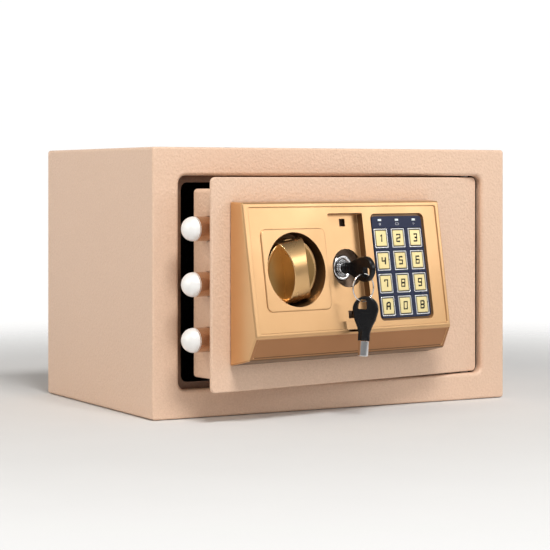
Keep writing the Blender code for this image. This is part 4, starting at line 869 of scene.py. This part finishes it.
def make_lock():
    front, bore = LOCK_FRONT_H, PLUG_RADIUS + 0.25 * MM
    profile = [(bore, front - 1.2 * MM), (bore + 0.9 * MM, front - 0.3 * MM), (bore + 1.6 * MM, front),
               (BARREL_RADIUS - 0.9 * MM, front), (BARREL_RADIUS, front - 0.9 * MM),
               (BARREL_RADIUS, LOCK_TAIL), (bore, LOCK_TAIL)]
    collar = lathe(PLATE, LOCK_X, LOCK_Z, soften(profile, 0.35 * MM, 3, True), 72)
    piece("lock_collar", collar, CHROME, "door", ["lock_barrel"], 40)
    face, deep = front - 0.8 * MM, front - 10.8 * MM
    outer, inner = KEY_TUBE_RADIUS + 0.2 * MM, KEY_TUBE_BORE - 0.2 * MM
    tail = LOCK_TAIL - 0.4 * MM
    profile = [(0, face), (inner, face), (inner, deep), (outer, deep), (outer, face - 0.4 * MM),
               (outer + 0.4 * MM, face), (PLUG_RADIUS, face), (PLUG_RADIUS, tail), (3 * MM, tail),
               (3 * MM, tail - 4.2 * MM), (0, tail - 4.2 * MM)]
    core = lathe(PLATE, LOCK_X, LOCK_Z, soften(profile, 0.2 * MM, 2), 64)
    piece("lock_core", core, CHROME, "plug", ["lock_plug"], 40)


def head_outline():
    """A key head from its neck at 0 to its round end, as (across, along)."""
    end = HEAD_LENGTH - HEAD_RADIUS
    right = [(NECK_RADIUS, 0), (NECK_RADIUS, 6 * MM), (NECK_RADIUS + 1.1 * MM, 10 * MM),
             (HEAD_RADIUS - 1.6 * MM, 15.5 * MM)]
    right += arc(0, end, HEAD_RADIUS, HEAD_RADIUS, -16, 90, 14)
    return right + [(-x, y) for x, y in reversed(right[:-1])]


def key_head(place):
    """A flat black grip with a sunk panel on each side and a round neck that takes the tube."""
    hole = soften(HEAD_HOLE, 0.9 * MM, 3, True)
    plate = slab([head_outline()], -HEAD_THICK / 2, HEAD_THICK / 2, place, 1.1 * MM, 4)
    along = place @ spin(-QUARTER, "X")
    neck = [(0, 0), (3.3 * MM, 0), (3.5 * MM, 3 * MM), (3.2 * MM, 8 * MM), (1.6 * MM, 12 * MM), (0, 13 * MM)]
    sunk = [slab([hole], -HEAD_THICK, HEAD_THICK, place)]
    teardrop = arc(0.4 * MM, 15.8 * MM, 5.4 * MM, 5.4 * MM, -24, 204, 24)
    teardrop += [(-1.6 * MM, 7.4 * MM), (2.4 * MM, 7.4 * MM)]
    for low, high in ((-HEAD_THICK, -HEAD_THICK / 2 + 0.35 * MM), (HEAD_THICK / 2 - 0.35 * MM, HEAD_THICK)):
        sunk.append(slab([soften(teardrop, 0.8 * MM, 3, True)], low, high, place, 0.3 * MM))
    return shaped(plate, sunk, [lathe(along, 0, 0, soften(neck, 0.6 * MM), 40)])


def key_tube(place, tip):
    """The hollow shank, chamfered at its tip."""
    end = tip + KEY_TUBE_LENGTH
    outline = [(KEY_TUBE_BORE, tip), (KEY_TUBE_RADIUS - 0.25 * MM, tip), (KEY_TUBE_RADIUS, tip + 0.4 * MM),
               (KEY_TUBE_RADIUS, end), (KEY_TUBE_BORE, end)]
    return lathe(place, 0, 0, soften(outline, 0.15 * MM, 2, True), 56)


def make_keys():
    start = LOCK_FRONT_H - KEY_INSERTED
    end = start + KEY_TUBE_LENGTH
    lock_axis = PLATE @ shift(LOCK_X, LOCK_Z, 0)
    piece("key_shank", key_tube(lock_axis, start), CHROME, "key", ["key_tube"], 40)
    upright = DOOR @ shift(LOCK_X, PLATE_FRONT - end - GAP, LOCK_Z) @ spin(QUARTER, "Y") @ spin(math.pi, "Z")
    piece("key_grip", key_head(upright), BLACK, "key", ["key_head"], 40)
    ring_top = Vector((LOCK_X, PLATE_FRONT - end - GAP - RING_AT, LOCK_Z + HOLE_LOW + RING_WIRE + 1.2 * MM))
    centre = ring_top - Vector((RING_ASIDE, 0, math.sqrt(RING_RADIUS ** 2 - RING_ASIDE ** 2)))
    foot = centre - Vector((0, 0, RING_RADIUS))
    # The ring is split: two close turns of wire.
    flat = DOOR @ shift(*centre) @ spin(QUARTER, "X")
    turns, per_turn, thin = 2, 56, 0.43 * MM
    coil = []
    for i in range(turns * per_turn - 3):
        t = 2 * math.pi * i / per_turn
        rise = -1 + 2 * i / (turns * per_turn)
        coil.append((RING_RADIUS * math.sin(t), RING_RADIUS * math.cos(t), rise * (RING_WIRE - thin)))
    piece("split_ring", wire(coil, thin, flat, 1.0, False, 3), CHROME, "ring", ["key_ring"], 50)
    hook = foot + Vector((0, 0, RING_WIRE + 0.5 * MM))
    hang = DOOR @ shift(*hook) @ spin(SPARE_LEAN, "Y") @ spin(SPARE_TURN, "Z") @ spin(QUARTER, "X")
    hang = hang @ shift(-HOLE_MID, -HOLE_TOP, 0)
    piece("spare_grip", key_head(hang), BLACK, "spare_key", ["spare_key_head"], 40)
    down = hang @ spin(QUARTER, "X")
    shank = key_tube(down @ spin(math.pi, "X") @ shift(0, 0, -GAP - KEY_TUBE_LENGTH), 0)
    piece("spare_shank", shank, CHROME, "spare_key", ["spare_key_tube"], 40)


# ---------------------------------------------------------------- carried-over nodes

CARRIED = {
    # The stop frame gets its coat darkened as painted shade.
    STOP_COAT_PAINTED_SHADE: ["door_stop_frame"],
    ZINC: ["hinge_bracket_upper", "hinge_bracket_lower", "hinge_pin_upper", "hinge_pin_lower",
           "bolt_carriage", "knob_spindle", "spindle_cam", "lock_nut", "lock_cam", "solenoid_body",
           "solenoid_spring", "solenoid_plunger"],
    BOARD: ["keypad_board"],
    TRAY: ["battery_tray"],
    JACKET: ["battery_1", "battery_2", "battery_3", "battery_4"],
}


def paint_carried():
    for material, names in CARRIED.items():
        for name in names:
            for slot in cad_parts[name].material_slots:
                slot.material = material


# ---------------------------------------------------------------- stage, lights and camera

def make_floor():
    bm = bmesh.new()
    bmesh.ops.create_circle(bm, cap_ends=True, segments=96, radius=9.0, matrix=shift(0, 0, -0.0004))
    floor = add_object("floor", as_mesh("floor", bm))
    pale = shader("pale_floor", (0.7, 0.7, 0.7), 0.85)
    tree = pale.node_tree
    finish_with(pale, blend_colour(tree, noise(tree, 14.0), (0.7, 0.7, 0.7), (0.73, 0.73, 0.73)))
    # The floor melts into the white surroundings away from the object.
    place = tree.nodes.new("ShaderNodeTexCoord").outputs["Object"]
    away = add_node(tree, "ShaderNodeVectorMath", {0: place}, operation="LENGTH").outputs["Value"]
    solid = spread(tree, away, 1.0, 0.0, 0.3, 0.9, interpolation_type="SMOOTHSTEP")
    tree.links.new(solid, tree.nodes["Principled BSDF"].inputs["Alpha"])
    floor.data.materials.append(pale)


def make_surroundings():
    """White behind the object. In front, a pale sky from 10 to 35 degrees up, over a grey horizon."""
    world = bpy.data.worlds.new("studio")
    bpy.context.scene.world = world
    world.use_nodes = True
    tree = world.node_tree
    direction = tree.nodes.new("ShaderNodeTexCoord").outputs["Generated"]
    parts = add_node(tree, "ShaderNodeSeparateXYZ", {"Vector": direction}).outputs

    def ramp(value, start, end, low, high):
        return spread(tree, value, low, high, start, end, interpolation_type="SMOOTHSTEP")

    def maths(operation, first, second):
        return add_node(tree, "ShaderNodeMath", {0: first, 1: second}, operation=operation).outputs["Value"]

    overhead = ramp(parts["Z"], 0.5, 0.85, 1.0, 0.25)
    behind = maths("MULTIPLY", ramp(parts["Z"], 0.2, 0.6, 1.02, 0.4), overhead)
    sky, ground = ramp(parts["Z"], 0.0, 0.22, 0.22, 0.62), ramp(parts["Z"], -0.2, -0.06, 0.95, 0.22)
    ahead = maths("MULTIPLY", maths("MAXIMUM", sky, ground), overhead)
    inputs = {"Factor": ramp(parts["Y"], -0.1, 0.35, 0.0, 1.0), "A": ahead, "B": behind}
    level = add_node(tree, "ShaderNodeMix", inputs, data_type="FLOAT").outputs["Result"]
    tree.links.new(level, tree.nodes["Background"].inputs["Strength"])
    tree.nodes["Background"].inputs["Color"].default_value = (1.0, 0.995, 0.985, 1)


def area_light(name, place, target, size, energy, colour):
    data = bpy.data.lights.new(name, "AREA")
    data.shape = "RECTANGLE"
    data.size, data.size_y = size
    data.energy = energy
    data.color = colour
    lamp = add_object(name, data)
    lamp.location = place
    lamp.rotation_euler = (Vector(target) - Vector(place)).to_track_quat("-Z", "Y").to_euler()


def make_lights():
    target = (0, -0.1, 0.1)
    area_light("key", (-0.2, -1.05, 1.5), target, (0.6, 0.35), 22, (1.0, 0.985, 0.96))
    area_light("side", (-1.5, -0.2, 0.8), target, (0.5, 0.9), 4.1, (1.0, 0.87, 0.69))
    area_light("right", (1.5, -1.35, 0.72), target, (1.1, 0.45), 4.5, (1.0, 0.985, 0.96))


def make_camera():
    data = bpy.data.cameras.new("camera")
    data.lens, data.sensor_width, data.shift_y = CAMERA_LENS, CAMERA_SENSOR, CAMERA_SHIFT
    data.clip_start = 0.05
    camera = add_object("camera", data)
    camera.location = CAMERA_AT
    camera.rotation_euler = (math.radians(90), 0, CAMERA_TURN)
    bpy.context.scene.camera = camera


make_camera()
make_floor()
make_surroundings()
make_lights()
make_body()
make_door()
make_rear()
make_housing()
make_knob()
make_keypad()
make_lock()
make_keys()
paint_carried()
bpy.context.scene.view_settings.view_transform = "Standard"
